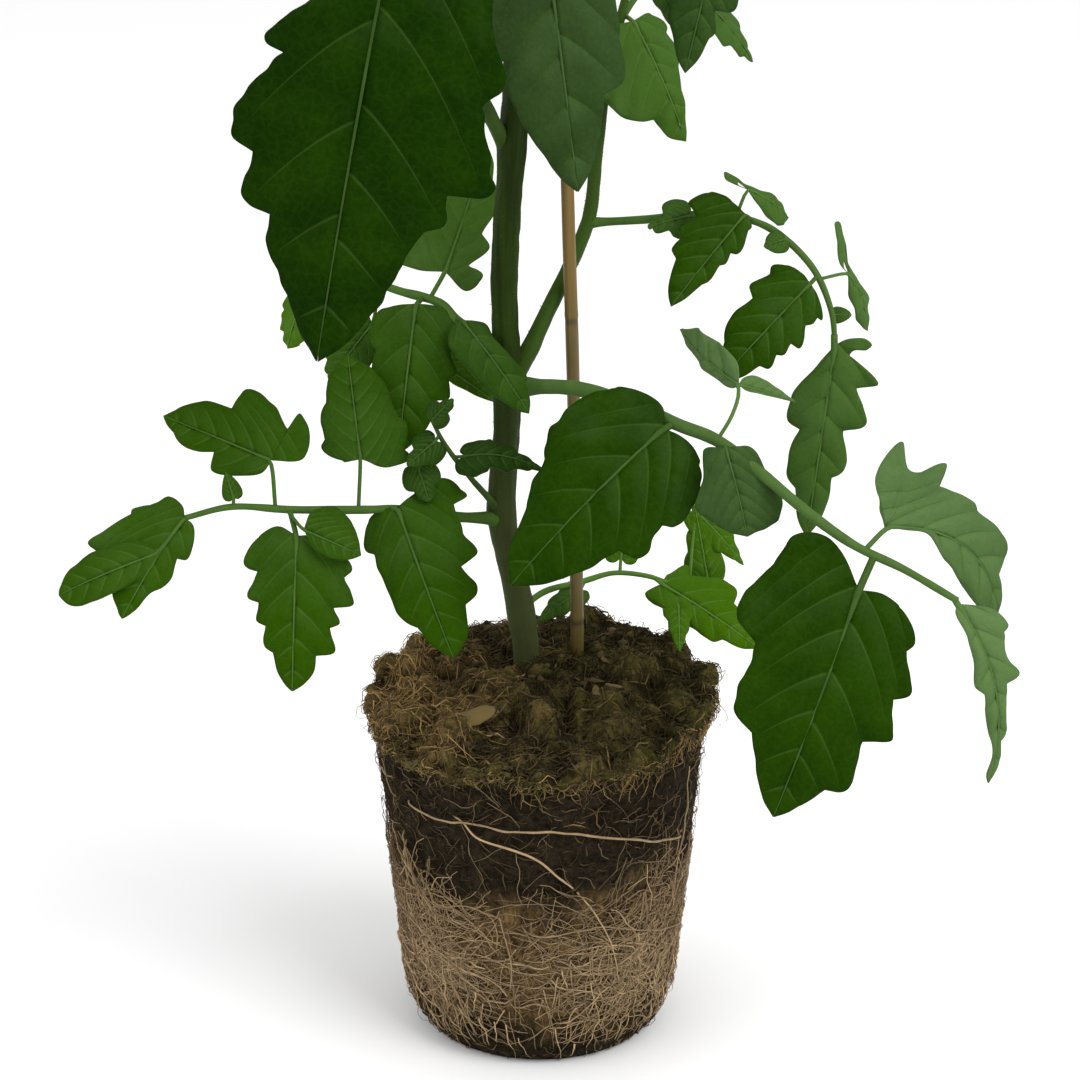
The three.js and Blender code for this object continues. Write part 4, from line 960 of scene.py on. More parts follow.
class Finish:
    """A material under construction: short calls that add nodes and return their sockets."""

    def __init__(self, name, **constants):
        self.material = bpy.data.materials.new(name)
        self.material.use_nodes = True
        self.tree = self.material.node_tree
        self.surface = self.tree.nodes["Principled BSDF"]
        for key, value in constants.items():
            self.surface.inputs[key.replace("_", " ")].default_value = value

    def node(self, kind, settings=None, **inputs):
        made = self.tree.nodes.new("ShaderNode" + kind)
        for key, value in (settings or {}).items():
            setattr(made, key, value)
        for key, value in inputs.items():
            self.feed(made.inputs[key.replace("_", " ")], value)
        return made

    def feed(self, socket, value):
        if isinstance(value, bpy.types.NodeSocket):
            self.tree.links.new(value, socket)
        elif socket.type == "RGBA":
            socket.default_value = (*value, 1)
        else:
            socket.default_value = value

    def value(self, name):
        """A value that the piece's points carry."""
        return self.node("Attribute", {"attribute_name": name}).outputs["Fac"]

    def place(self, stretch=(1, 1, 1)):
        """Places on the piece in metres, times the stretch."""
        where = self.node("TexCoord").outputs["Object"]
        return self.node("Mapping", Vector=where, Scale=stretch).outputs["Vector"]

    def math(self, kind, *values):
        made = self.tree.nodes.new("ShaderNodeMath")
        made.operation = kind
        for socket, value in zip(made.inputs, values):
            self.feed(socket, value)
        return made.outputs[0]

    def times(self, a, b):
        return self.math("MULTIPLY", a, b)

    def plus(self, a, b):
        return self.math("ADD", a, b)

    def coordinate(self, where, axis):
        """One coordinate of the places."""
        return self.node("SeparateXYZ", Vector=where).outputs[axis]

    def grain(self, where, scale, detail=3.0, rough=0.55):
        """Soft clouds of noise over the places, from 0 to 1."""
        made = self.node("TexNoise", Vector=where, Scale=scale, Detail=detail, Roughness=rough)
        return made.outputs["Fac"]

    def cells(self, where, scale, edge):
        """A net of fine lines: 1 on the borders of the cells that the places fall in, and 0 within."""
        made = self.node("TexVoronoi", {"feature": "DISTANCE_TO_EDGE"}, Vector=where, Scale=scale)
        return self.spread(made.outputs["Distance"], 0.0, edge, 1.0, 0.0)

    def spread(self, value, low, high, to_low=0.0, to_high=1.0):
        """The value carried from low..high to to_low..to_high, and held within them."""
        made = self.node("MapRange")
        for socket, number in zip(made.inputs, (value, low, high, to_low, to_high)):
            self.feed(socket, number)
        return made.outputs["Result"]

    def blend(self, amount, a, b):
        """The first colour turned into the second by the amount, from 0 to 1."""
        made = self.node("Mix", {"data_type": "RGBA"})
        self.feed(made.inputs["Factor"], amount)
        for socket, colour in zip([one for one in made.inputs if one.type == "RGBA"], (a, b)):
            self.feed(socket, colour)
        return [one for one in made.outputs if one.type == "RGBA"][0]

    def shades(self, value, stops):
        """Colours that follow one another as the value rises: (value, colour) pairs."""
        made = self.node("ValToRGB", Fac=value)
        ramp_ = made.color_ramp
        for k, (at, colour) in enumerate(stops):
            stop = ramp_.elements[k] if k < 2 else ramp_.elements.new(at)
            stop.position = at
            stop.color = (*colour, 1)
        return made.outputs["Color"]

    def done(self, colour, height=None, strength=0.5, distance=0.0005):
        """Sets the colour, and the bump where there is one, and gives the material back."""
        self.feed(self.surface.inputs["Base Color"], colour)
        if height is not None:
            bump = self.node("Bump", Strength=strength, Distance=distance, Height=height)
            self.feed(self.surface.inputs["Normal"], bump.outputs["Normal"])
        return self.material


def scaled(colour, by):
    """The colour made brighter or darker."""
    return tuple(c * by for c in colour)


def blade_finish(settings):
    """Leaf blades: dark to bright green by the leaflet's tone with soft clouds, painted light and shade
    across each field between side veins for the blade's swell, greyer by its paleness, which is partly
    painted sheen, in clouds of painted sheen and towards its foot, with paler veins that thin to the rim, a
    faint net of fine veins between them, and a paler underside."""
    f = Finish("leaf_blade", Roughness=0.5, Specular_IOR_Level=0.01)
    tone, pale, out = f.value("tone"), f.value("pale"), f.value("out")
    apart = f.times(f.value("pick"), 90.0)
    flat = f.node("CombineXYZ", X=f.value("run"), Y=f.value("wide"), Z=apart).outputs["Vector"]
    tone = f.plus(tone, f.spread(f.grain(flat, 0.07, 3), 0.3, 0.7, -0.06, 0.06))
    # Painted sheen: soft clouds where the blade turns greyer.
    pale = f.plus(pale, f.spread(f.grain(flat, 0.05, 2), 0.5, 0.68, 0.0, 0.09))
    tone = f.plus(tone, f.spread(f.grain(flat, 0.9, 2), 0.3, 0.7, -0.03, 0.03))
    # Painted light and shade for the blade's swell: each field between side veins is lighter just beyond
    # its vein and darker before the next, and weaker towards the rim.
    relief_shade = f.spread(f.math("FRACT", f.value("phase")), 0.03, 0.85, 1.0, 0.0)
    relief_shade = f.times(relief_shade, f.spread(out, 0.15, 0.9, 1.0, 0.25))
    tone = f.plus(tone, f.spread(relief_shade, 0, 1, -0.02, 0.03))
    # Painted sheen on the lit part of each field: greyer there and less grey before the next vein, most on
    # dark blades.
    lift = f.times(f.math("SUBTRACT", relief_shade, 0.6), f.spread(tone, 0.1, 0.5, 0.14, 0.02))
    pale = f.plus(f.plus(pale, lift), f.spread(f.value("run"), 12, 45, 0.04, -0.06))
    base = f.shades(tone, [(0, settings.dark_green), (1, settings.bright_green), (0.4, settings.green)])
    grey = f.blend(tone, scaled(settings.pale_green, 0.35), scaled(settings.pale_green, 1.5))
    base = f.blend(pale, base, grey)
    off = f.times(f.math("PINGPONG", f.value("phase"), 0.5), f.value("spacing"))
    width = f.spread(out, 0.0, 1.0, 0.55, 0.22)
    side_vein = f.math("SUBTRACT", 1.0, f.spread(f.math("DIVIDE", off, width), 0.2, 1.1))
    side_vein = f.times(side_vein, f.spread(out, 0.6, 0.95, 1.0, 0.0))
    net, small = f.cells(flat, 0.36, 0.16), f.cells(flat, 1.1, 0.25)
    vein = f.math("MAXIMUM", f.times(side_vein, 0.5), f.times(net, 0.07))
    dim, lit = scaled(settings.vein_green, 0.4), scaled(settings.vein_green, 1.7)
    base = f.blend(vein, base, f.blend(f.spread(tone, 0, 1, 0.1, 0.8), dim, lit))
    base = f.blend(f.times(f.value("under"), 0.45), base, settings.pale_green)
    height = f.plus(f.times(side_vein, -0.7), f.times(net, -0.28))
    height = f.plus(height, f.times(small, -0.12))
    return f.done(base, height, 0.45, 0.0004)


def stalk_finish(settings):
    """Leaf stalks and midribs: the vein green, brighter with the leaf's tone, with faint streaks."""
    f = Finish("leaf_stalk", Roughness=0.55, Specular_IOR_Level=0.05)
    streaks = f.grain(f.place((1, 1, 0.3)), 260, 2)
    tone = f.plus(f.value("tone"), f.spread(streaks, 0.3, 0.7, -0.1, 0.1))
    base = f.shades(tone, [(0, scaled(settings.vein_green, 0.42)), (1, scaled(settings.vein_green, 1.5))])
    # Greyer by the leaf's paleness: partly the grey of its leaflets and partly their painted sheen.
    base = f.blend(f.times(f.value("pale"), 0.35), base, settings.pale_green)
    return f.done(base, streaks, 0.2, 0.0003)


def stem_finish(settings):
    """The stem: dark olive with brown streaks along it, greyer towards its foot, and clearer on the side
    shoot."""
    f = Finish("stem_skin", Roughness=0.55, Specular_IOR_Level=0.05)
    long = f.grain(f.place((1, 1, 0.06)), 420, 3)
    patch = f.grain(f.place((1, 1, 0.4)), 45, 3)
    dark, light = scaled(settings.stem_green, 0.55), scaled(settings.stem_green, 1.35)
    base = f.blend(f.spread(long, 0.3, 0.7), dark, light)
    brown = f.times(f.spread(patch, 0.52, 0.72), 0.55)
    base = f.blend(brown, base, settings.stem_brown)
    high = f.coordinate(f.place(), "Z")
    base = f.blend(f.spread(high, 0.2, 0.11, 0.0, 0.75), base, settings.foot_green)
    base = f.blend(f.value("young"), base, settings.shoot_green)
    return f.done(base, long, 0.35, 0.0004)


def down_finish(settings):
    """The stem's short hairs: green to grey-green by their shade."""
    f = Finish("stem_down", Roughness=0.6)
    base = f.shades(f.value("shade"), [(0, scaled(settings.shoot_green, 0.6)), (1, tint(92, 106, 66))])
    return f.done(base)


def bamboo_finish(settings):
    """The stake: golden-brown above its upper joint and a duller brown below it, with streaks along it, a
    dark ring at each joint, and a few flecks."""
    f = Finish("bamboo", Roughness=0.45, Specular_IOR_Level=0.4)
    streak = f.grain(f.place((1, 1, 0.02)), 900, 3)
    fleck = f.grain(f.place((1, 1, 0.25)), 160, 4, 0.7)
    high = f.coordinate(f.place(), "Z")
    rise = f.spread(high, 0.206, 0.226)
    base = f.blend(rise, settings.low_colour, settings.high_colour)
    base = f.blend(f.spread(streak, 0.35, 0.65, 0.0, 0.5), base, scaled(settings.low_colour, 0.6))
    base = f.blend(f.spread(fleck, 0.62, 0.72, 0.0, 0.5), base, scaled(settings.low_colour, 0.35))
    base = f.blend(f.times(f.value("joint"), 0.75), base, scaled(settings.low_colour, 0.3))
    return f.done(base, streak, 0.25, 0.0003)


def peat_finish(settings):
    """Peat and moss: dark crumbs, tan fibre where roots mat the lower half, olive where it is mossy, straw
    where the moss is dry, and painted shade, near black, where it lies low in creases and hollows."""
    f = Finish("peat_and_moss", Roughness=0.95, Specular_IOR_Level=0.05)
    where = f.place()
    patch, crumb = f.grain(where, 60, 4), f.grain(where, 520, 4, 0.7)
    fibre = f.grain(f.place((1, 1, 0.35)), 900, 2)
    peat, moss, dry_straw = settings.peat_colour, settings.moss_colour, settings.straw_colour
    strand = 0.35, 0.65
    base = f.blend(f.spread(crumb, *strand), scaled(peat, 0.25), scaled(peat, 1.15))
    high = f.coordinate(where, "Z")
    high = f.plus(high, f.spread(patch, 0.3, 0.7, -0.012, 0.012))
    matted = f.times(f.spread(high, 0.062, 0.044), f.spread(high, 0.010, 0.028))
    tan = f.blend(f.spread(fibre, *strand), scaled(dry_straw, 0.3), scaled(dry_straw, 0.85))
    base = f.blend(f.times(matted, 0.75), base, tan)
    green = f.blend(f.spread(crumb, 0.3, 0.7), scaled(moss, 0.35), scaled(moss, 1.4))
    green = f.blend(f.spread(patch, 0.45, 0.62, 0, 0.4), green, scaled(dry_straw, 0.4))
    dry = f.spread(f.coordinate(where, "X"), 0.005, -0.04)
    dry = f.times(dry, f.spread(patch, 0.34, 0.5))
    straw = f.blend(f.spread(fibre, *strand), scaled(dry_straw, 0.25), scaled(dry_straw, 0.8))
    base = f.blend(f.value("moss"), base, f.blend(f.times(dry, 0.7), green, straw))
    # Painted shade: near black in the creases of the top and the hollows of the side.
    base = f.blend(f.times(f.value("low"), 0.85), base, scaled(peat, 0.22))
    return f.done(base, f.plus(crumb, fibre), 0.8, 0.0012)


def fibre_finish(settings):
    """Threads of peat and moss: brown to straw by their shade, and olive to mustard where they are moss."""
    f = Finish("peat_fibre", Roughness=0.8, Specular_IOR_Level=0.15)
    shade = f.value("shade")
    peat, straw = settings.peat_colour, settings.straw_colour
    moss, mustard = settings.moss_colour, settings.mustard_colour
    brown = f.shades(shade, [(0, scaled(peat, 0.7)), (1, scaled(straw, 1.35)), (0.55, scaled(straw, 0.45))])
    green = f.shades(shade, [(0, scaled(moss, 0.4)), (1, scaled(mustard, 1.1)), (0.6, moss)])
    return f.done(f.blend(f.value("moss"), brown, green))


def root_finish(settings):
    """Roots: pale tan, browner with depth and age by their shade, mottled along their run."""
    f = Finish("root_skin", Roughness=0.7, Specular_IOR_Level=0.2)
    spots = f.grain(f.place(), 350, 3)
    shade = f.plus(f.value("shade"), f.spread(spots, 0.3, 0.7, -0.15, 0.15))
    tan = settings.root_colour
    stops = [(0, scaled(tan, 0.25)), (1, scaled(tan, 1.25)), (0.5, scaled(tan, 0.62))]
    return f.done(f.shades(shade, stops))


# ------------------------------------------------------------------ sizes and colours to change
def colour_of(name, description, default):
    """A colour that the panel shows."""
    return FloatVectorProperty(
        name=name, description=description, subtype="COLOR", size=3, min=0, max=1, default=default
    )


def count_of(name, description, default):
    """A whole number that the panel shows."""
    return IntProperty(name=name, description=description, min=0, default=default)


def length_of(name, description, default):
    """A length that the panel shows, from its millimetres."""
    return FloatProperty(
        name=name, description=description, min=0, unit="LENGTH", precision=5, default=default * MM
    )


class BallSettings(bpy.types.PropertyGroup):
    """The root ball's sizes and colours."""

    around: count_of("Points around", "Points in each row round the ball", 264)
    grain: length_of("Grain", "Distance between the ball's rows", 1.05)
    moss_threads: count_of("Moss threads", "Threads over the mossy top", 5600)
    rim_threads: count_of("Rim threads", "Threads that hang over the rim", 1500)
    side_threads: count_of("Side threads", "Threads of peat on the side", 4300)
    crumbs: count_of("Crumbs", "Crumbs of peat", 900)
    peat_colour: colour_of("Peat", "Colour of the peat", tint(44, 37, 26))
    moss_colour: colour_of("Moss", "Colour of the moss", tint(74, 70, 32))
    mustard_colour: colour_of("Mustard moss", "Colour of the moss's lightest threads", tint(138, 116, 60))
    straw_colour: colour_of("Straw", "Colour of the dry threads", tint(146, 118, 78))


class RootSettings(bpy.types.PropertyGroup):
    """The roots' sizes and colour."""

    thickness: length_of("Thickness", "Radius of the main roots", 0.32)
    fine_roots: count_of("Fine roots", "Fine roots over the side", 2300)
    mat_roots: count_of("Mat roots", "Fine roots in the pale mats", 1000)
    foot_roots: count_of("Foot roots", "Short upright roots at the foot", 170)
    root_colour: colour_of("Roots", "Colour of the roots", tint(164, 139, 104))


class StemSettings(bpy.types.PropertyGroup):
    """The stem's sizes and colours."""

    sides: count_of("Sides", "Points round the stem", 28)
    hairs: count_of("Hairs", "Short hairs on the stem and its shoot", 2400)
    hair_length: length_of("Hair length", "Length of the longest hairs", 1.0)
    stem_green: colour_of("Stem", "Colour of the stem", tint(34, 50, 10))
    stem_brown: colour_of("Stem brown", "Colour of the stem's streaks", tint(52, 46, 22))
    foot_green: colour_of("Stem foot", "Colour of the stem near the ground", tint(74, 78, 48))
    shoot_green: colour_of("Shoot", "Colour of the side shoot", tint(52, 76, 24))


class StakeSettings(bpy.types.PropertyGroup):
    """The stake's colours."""

    low_colour: colour_of("Low", "Colour near the ground", tint(100, 84, 38))
    high_colour: colour_of("High", "Colour at the top", tint(110, 86, 24))


class LeafSettings(bpy.types.PropertyGroup):
    """The leaves' sizes and colours."""

    margin_step: length_of("Margin step", "Distance between a margin's points", 0.75)
    blade_thickness: length_of("Blade thickness", "Thickness of a leaf blade", 0.36)
    dark_green: colour_of("Dark green", "Colour of the darkest leaflets", tint(14, 37, 1))
    green: colour_of("Green", "Colour of most leaflets", tint(39, 69, 2))
    bright_green: colour_of("Bright green", "Colour of the youngest leaflets", tint(58, 94, 1))
    pale_green: colour_of("Pale green", "Colour of the underside and of a blade's shine", tint(98, 126, 78))
    vein_green: colour_of("Vein green", "Colour of veins and stalks", tint(68, 98, 38))


class StageSettings(bpy.types.PropertyGroup):
    """The floor, the lights and the camera."""

    floor_size: length_of("Floor", "Length of the floor's side", 8000)
    floor_colour: colour_of("Floor colour", "Colour of the floor", (0.86, 0.86, 0.86))
    sky: FloatProperty(name="Sky", description="Strength of the light from all round", min=0, default=0.95)
    key: FloatProperty(name="Key", description="Power of the large light", min=0, unit="POWER", default=34)
    fill: FloatProperty(name="Fill", description="Power of the side light", min=0, unit="POWER", default=8)
    camera_distance: length_of("Camera distance", "Distance from the plant to the camera", 900)
    camera_height: length_of("Camera height", "Height of the camera", 490)
    camera_tilt: FloatProperty(name="Camera tilt", description="How far the camera looks down",
                               subtype="ANGLE", default=math.radians(20.72))
    lens: FloatProperty(name="Lens", description="The lens's focal length in millimetres", default=112.33)


GROUPS = {
    "plant_ball": BallSettings,
    "plant_roots": RootSettings,
    "plant_stem": StemSettings,
    "plant_stake": StakeSettings,
    "plant_leaves": LeafSettings,
    "plant_stage": StageSettings,
}


def built_ball(settings):
    """The root ball's skin at the settings' grain."""
    return Ball(settings.around, settings.grain / MM)


# ------------------------------------------------------------------ operators
class PLANT_OT_root_ball(bpy.types.Operator):
    """Root ball: the peat and its mossy top"""

    bl_idname = "plant.root_ball"
    bl_label = "Root ball"

    def execute(self, context):
        settings = context.scene.plant_ball
        ball = built_ball(settings)
        lay("root_ball_skin", [ball.shell()], [peat_finish(settings)], ["root_ball"])
        return {"FINISHED"}


class PLANT_OT_moss(bpy.types.Operator):
    """Moss and peat threads, crumbs and dry flakes over the root ball"""

    bl_idname = "plant.moss"
    bl_label = "Moss and threads"

    def execute(self, context):
        settings = context.scene.plant_ball
        ball = built_ball(settings)
        finish = fibre_finish(settings)
        draws = np.random.default_rng(41)

        n = settings.moss_threads
        angle, far = draws.uniform(0, TAU, n), 51.5 * np.sqrt(draws.random(n))
        row = ball.row_at_radius(far)
        here = ball.at(angle, row)
        clump = clouds(here, 9, 2, 51)
        across = here[:, 0] / BALL_TOP_RADIUS
        shade = 0.42 - 0.46 * across + 0.2 * ramp(-across, 0.35, 0.8) + 0.5 * clump
        # Threads that lie in the top's creases are darkened as painted shade.
        shade = np.clip(shade - 0.5 * ball.crease_shade_at(angle, row) + draws.normal(0, 0.16, n), 0, 1)
        moss = np.clip(0.55 + 0.35 * across + 0.9 * clouds(here, 14, 2, 57) + draws.normal(0, 0.2, n), 0, 1)
        heading = draws.uniform(0, TAU, n) + 1.5 * clump
        coarse = draws.random(n) < 0.13 + 0.1 * clump
        radius = np.where(coarse, draws.uniform(0.2, 0.36, n), draws.uniform(0.08, 0.18, n))
        shade = np.where(coarse, np.clip(shade + 0.12, 0.3, 1), shade)
        moss = np.where(coarse, moss * 0.5, moss)
        top = strands(ball, 42, angle, row, heading, draws.gamma(4, 1.3, n) + 1.5, draws.normal(0, 1.0, n),
                      radius, draws.uniform(-0.1, 0.3, n), draws.gamma(2, 0.4, n), 4, moss, shade)
        lay("moss_threads", [top], [finish])

        n = settings.rim_threads
        angle = draws.uniform(0, TAU, n)
        hang = np.exp(-((((angle - 5.1 + math.pi) % TAU - math.pi) / 0.8) ** 2))
        row = ball.row_at_height(BALL_HEIGHT + 1) + draws.uniform(-3, 5, n) - 3 * hang * draws.random(n)
        heading = -math.pi / 2 + draws.normal(0, 0.9, n)
        shade = np.clip(draws.normal(0.5, 0.25, n) + 0.2 * np.abs(np.cos(angle)), 0, 1)
        moss = np.clip(draws.normal(0.55, 0.4, n) - 0.25 * np.abs(np.cos(angle)), 0, 1)
        rim = strands(ball, 43, angle, row, heading, draws.uniform(2, 7, n) * (1 + 0.3 * hang),
                      draws.normal(0, 1.2, n), draws.uniform(0.08, 0.2, n), draws.uniform(0, 0.4, n),
                      draws.gamma(2, 0.5, n), 5, moss, shade)
        lay("rim_threads", [rim], [finish])

        n = settings.side_threads
        angle, z = draws.uniform(0, TAU, n), draws.uniform(2, BALL_HEIGHT, n)
        row = ball.row_at_height(z)
        here = ball.at(angle, row)
        low = ramp(-z, -60, -44) * ramp(z, 8, 22)
        clump = clouds(here, 8, 2, 61)
        shade = np.clip(0.12 + 0.4 * low + 0.45 * clump + draws.normal(0, 0.17, n), 0, 1)
        moss = np.clip(0.12 + 0.7 * clouds(here, 12, 2, 63) + draws.normal(0, 0.18, n), 0, 1)
        coarse = draws.random(n) < 0.16 + 0.2 * clump
        radius = np.where(coarse, draws.uniform(0.15, 0.3, n), draws.uniform(0.06, 0.13, n))
        shade = np.where(coarse, np.clip(shade + 0.22, 0.3, 0.75), shade)
        side = strands(ball, 44, angle, row, draws.uniform(0, TAU, n), draws.uniform(2.5, 9, n),
                       draws.normal(0, 1.0, n), radius, draws.uniform(-0.1, 0.2, n),
                       draws.gamma(2, 0.25, n), 4, moss, shade)
        lay("side_threads", [side], [finish])

        n = settings.crumbs
        angle = draws.uniform(0, TAU, n)
        on_top = draws.random(n) < 0.6
        row = np.where(on_top, ball.row_at_radius(51 * np.sqrt(draws.random(n))),
                       ball.row_at_height(draws.uniform(3, 97, n)))
        centres = ball.at(angle, row, draws.uniform(-0.2, 0.3, n))
        sizes = (draws.gamma(3, 0.2, n) + 0.25) * np.where(on_top, 1, 0.55)
        centres[:, 2] = np.maximum(centres[:, 2], sizes)
        crumbs = lumps(centres, sizes, 45, moss=np.where(on_top, draws.random(n), 0.0),
                       shade=draws.uniform(0, 0.4, n) * np.where(on_top, 1, 0.5))
        lay("peat_crumbs", [crumbs], [finish])

        spot = ball.at(np.array(4.035), ball.row_at_radius(31), 1.8)
        flakes = [flake(spot, (-0.15, -0.4, 0.85), 0.2, 11, 6, 3, moss=0.6, shade=0.66)]
        for k in range(26):
            angle, far = np.array(draws.uniform(0, TAU)), draws.uniform(10, 52)
            spot = ball.at(angle, ball.row_at_radius(far), draws.uniform(0.2, 1.2))
            lean = (draws.normal(0, 0.4), draws.normal(-0.1, 0.4), 1.0)
            turn, sides = draws.uniform(0, TAU), (draws.uniform(2.5, 6), draws.uniform(1.5, 3.5))
            flakes.append(flake(spot, lean, turn, *sides, k + 4, moss=draws.random(),
                                shade=draws.uniform(0.15, 0.55)))
        lay("dry_flakes", flakes, [finish])
        return {"FINISHED"}


class PLANT_OT_roots(bpy.types.Operator):
    """Roots over the root ball: the main ones, fine ones, a pale mat and short upright ones"""

    bl_idname = "plant.roots"
    bl_label = "Roots"

    def execute(self, context):
        settings = context.scene.plant_roots
        ball = built_ball(context.scene.plant_ball)
        finish = root_finish(settings)
        thick = settings.thickness / MM
        main = []
        for k, stops in enumerate(ROOTS):
            flat = np.array([(math.radians(angle) * BALL_TOP_RADIUS, z, 0) for angle, z in stops])
            path = flow(flat, spacing=1.0)
            path[:, 1] += 0.5 * noise(path + 40 * k, 6, 71)
            angle, z = path[:, 0] / BALL_TOP_RADIUS, path[:, 1]
            dip = 2.2 * ramp(noise(path + 40 * k, 14, 77), 0.15, 0.5)
            radius = wall(z) + GAP + ROOT_RADIUS - 0.5 + 0.3 * noise(path + 40 * k, 4, 73) - dip
            points = np.stack([radius * np.cos(angle), radius * np.sin(angle), z], -1)
            thin = thick * along_radii((0.8, 1.1, 0.9, 0.7, 0.4), len(path))
            thin = thin * (1 + 0.15 * noise(path, 2, 75))
            strong = 1.0 if k in (0, 3) else 0.62
            shade = 0.55 * strong + 0.25 * draw(k, 3)
            main.append(tubes(points[None], thin[None] * strong, 7, shade=shade))
        lay("main_roots", main, [finish], ["root_net"])

        draws = np.random.default_rng(81)

        def over_wall(n, angle, z, heading, length, curl, lift, points, sway=0.3):
            """Paths along the ball's wall that sway and curl, each lifted from it by its own amount, and
            tucked in at its foot."""
            s = np.linspace(0, 1, points)
            sway = sway * np.sin(TAU * (s * draws.uniform(0.6, 1.6, (n, 1)) + draws.random((n, 1))))
            way = heading[:, None] + curl[:, None] * (s - 0.5) + sway
            stride = (length / (points - 1))[:, None]
            up = z[:, None] + np.cumsum(np.sin(way) * stride, axis=1)
            up = np.clip(up, 0.5, BALL_HEIGHT - 2)
            turn = angle[:, None] + np.cumsum(np.cos(way) * stride, axis=1) / wall(z)[:, None]
            tuck = np.maximum(0, 9 - up) * 0.52
            far = wall(up) + lift[:, None] + 0.35 * np.sin(TAU * (s * 2 + lift[:, None] * 5)) - tuck
            return np.stack([far * np.cos(turn), far * np.sin(turn), up], -1)

        n = settings.fine_roots
        tries = 2 * n
        z = np.where(draws.random(tries) < 0.92, draws.uniform(15, 55, tries), draws.uniform(50, 92, tries))
        angle = draws.uniform(0, TAU, tries)
        where = np.stack([48 * np.cos(angle), 48 * np.sin(angle), z], -1)
        keep = np.argsort(-clouds(where, 11, 2, 83) - draws.normal(0, 0.35, tries))[:n]
        z, angle = z[keep], angle[keep]
        level = np.where(draws.random(n) < 0.35, draws.choice([0, math.pi], n), draws.uniform(0, TAU, n))
        length = draws.gamma(3, 3.2, n) + 3
        paths = over_wall(n, angle, z, level + draws.normal(0, 0.5, n), length, draws.normal(0, 0.8, n),
                          draws.uniform(-0.9, 0.4, n), 7)
        shade = draws.normal(0.44, 0.15, n) - 0.28 * ramp(z, 52, 66) - 0.15 * ramp(-z, -24, -10)
        shade = np.clip(shade, 0.03, 1)
        fine = tubes(paths, (0.06 + draws.gamma(2, 0.025, n))[:, None], 3, shade=shade)
        lay("fine_roots", [fine], [finish])

        n = settings.mat_roots
        middle, spread, height = MATS[draws.choice(len(MATS), n, p=MAT_SHARES)].T
        angle = middle + spread * draws.normal(0, 1, n)
        z = np.clip(height + draws.normal(0, 9, n), 8, 56)
        paths = over_wall(n, angle, z, draws.normal(0, 1.0, n) + math.pi * (draws.random(n) < 0.5),
                          draws.gamma(4, 2.4, n) + 4, draws.normal(0, 1.0, n),
                          draws.uniform(-0.3, 0.6, n), 7)
        mat = tubes(paths, (0.07 + draws.gamma(2, 0.03, n))[:, None], 3,
                    shade=np.clip(draws.normal(0.66, 0.15, n), 0.1, 1))
        lay("mat_roots", [mat], [finish])

        n = settings.foot_roots
        angle, z = draws.uniform(0, TAU, n), draws.uniform(8, 40, n)
        paths = over_wall(n, angle, z, -math.pi / 2 + draws.normal(0, 0.22, n),
                          np.minimum(draws.uniform(6, 19, n), z - 2), draws.normal(0, 0.5, n),
                          draws.uniform(0, 0.7, n), 8, 0.14)
        taper = np.linspace(1, 0.35, 8)
        foot = tubes(paths, (0.12 + draws.gamma(2, 0.045, n))[:, None] * taper, 4,
                     shade=np.clip(draws.normal(0.75, 0.18, n), 0.3, 1))
        lay("foot_roots", [foot], [finish])
        return {"FINISHED"}


def stem_tube(path, radii, sides, seed, young):
    """A stem's run with low ridges that wind slowly round it, swellings where stalks leave it, and a skin
    that isn't quite even."""
    centre = flow(path, spacing=1.1)
    count = len(centre)
    around = rings(sides)
    base = along_radii(radii, count)[:, None]
    height = centre[:, 2:]
    knots = sum(np.exp(-(((height - z) / 4.5) ** 2)) for z in STEM_KNOTS)
    ridge = 0.05 * np.cos(4 * around + height * 0.025) + 0.03 * np.cos(7 * around - height * 0.04 + 1)
    where = np.stack(np.broadcast_arrays(base * np.cos(around), base * np.sin(around), height), -1)
    skin = 0.05 * noise(where, 3.0, seed)
    radius = base * (1 + ridge + 0.1 * knots + skin)
    return tubes(centre[None], radius[None], sides, young=young), centre, base[:, 0]


def hairs_on(centre, radius, count, longest, draws):
    """Short hairs: each stands on the stem's skin, out along the arm from the stem's middle and a little up
    or down, and thins to a point."""
    k = draws.integers(2, len(centre) - 2, count)
    run = unit(centre[k + 1] - centre[k - 1])
    first, second = arms(run, np.array([1.0, 0, 0]))
    a = draws.uniform(0, TAU, count)[:, None]
    arm = np.cos(a) * first + np.sin(a) * second
    tip = unit(arm + run * draws.normal(0, 0.35, (count, 1)) + draws.normal(0, 0.15, (count, 3)))
    length = longest * draws.uniform(0.4, 1, count)[:, None, None]
    s = np.array([-0.1, 0.5, 1.0])[:, None]
    start = (centre[k] + arm * radius[k][:, None])[:, None]
    bend = run[:, None] * (0.12 * s**2)
    paths = start + (tip[:, None] * s + bend) * length
    return tubes(paths, np.array([0.05, 0.035, 0.012])[None], 3, shade=draws.random(count))


class PLANT_OT_stem(bpy.types.Operator):
    """Stem with its side shoot, and the short hairs on them"""

    bl_idname = "plant.stem"
    bl_label = "Stem"

    def execute(self, context):
        settings = context.scene.plant_stem
        main, centre, radius = stem_tube(STEM_PATH, STEM_RADII, settings.sides, 91, 0.0)
        sides = max(8, settings.sides // 2 + 4)
        side, side_centre, side_radius = stem_tube(SHOOT_PATH, SHOOT_RADII, sides, 92, 0.85)
        lay("stem_skin", [main, side], [stem_finish(settings)], ["stem"])
        draws = np.random.default_rng(93)
        clear = centre[:, 2] > BALL_HEIGHT + 8
        longest = settings.hair_length / MM
        share = settings.hairs * 2 // 3
        down = [
            hairs_on(centre[clear], radius[clear], share, longest, draws),
            hairs_on(side_centre, side_radius, settings.hairs - share, longest * 0.8, draws),
        ]
        lay("stem_down", down, [down_finish(settings)])
        return {"FINISHED"}


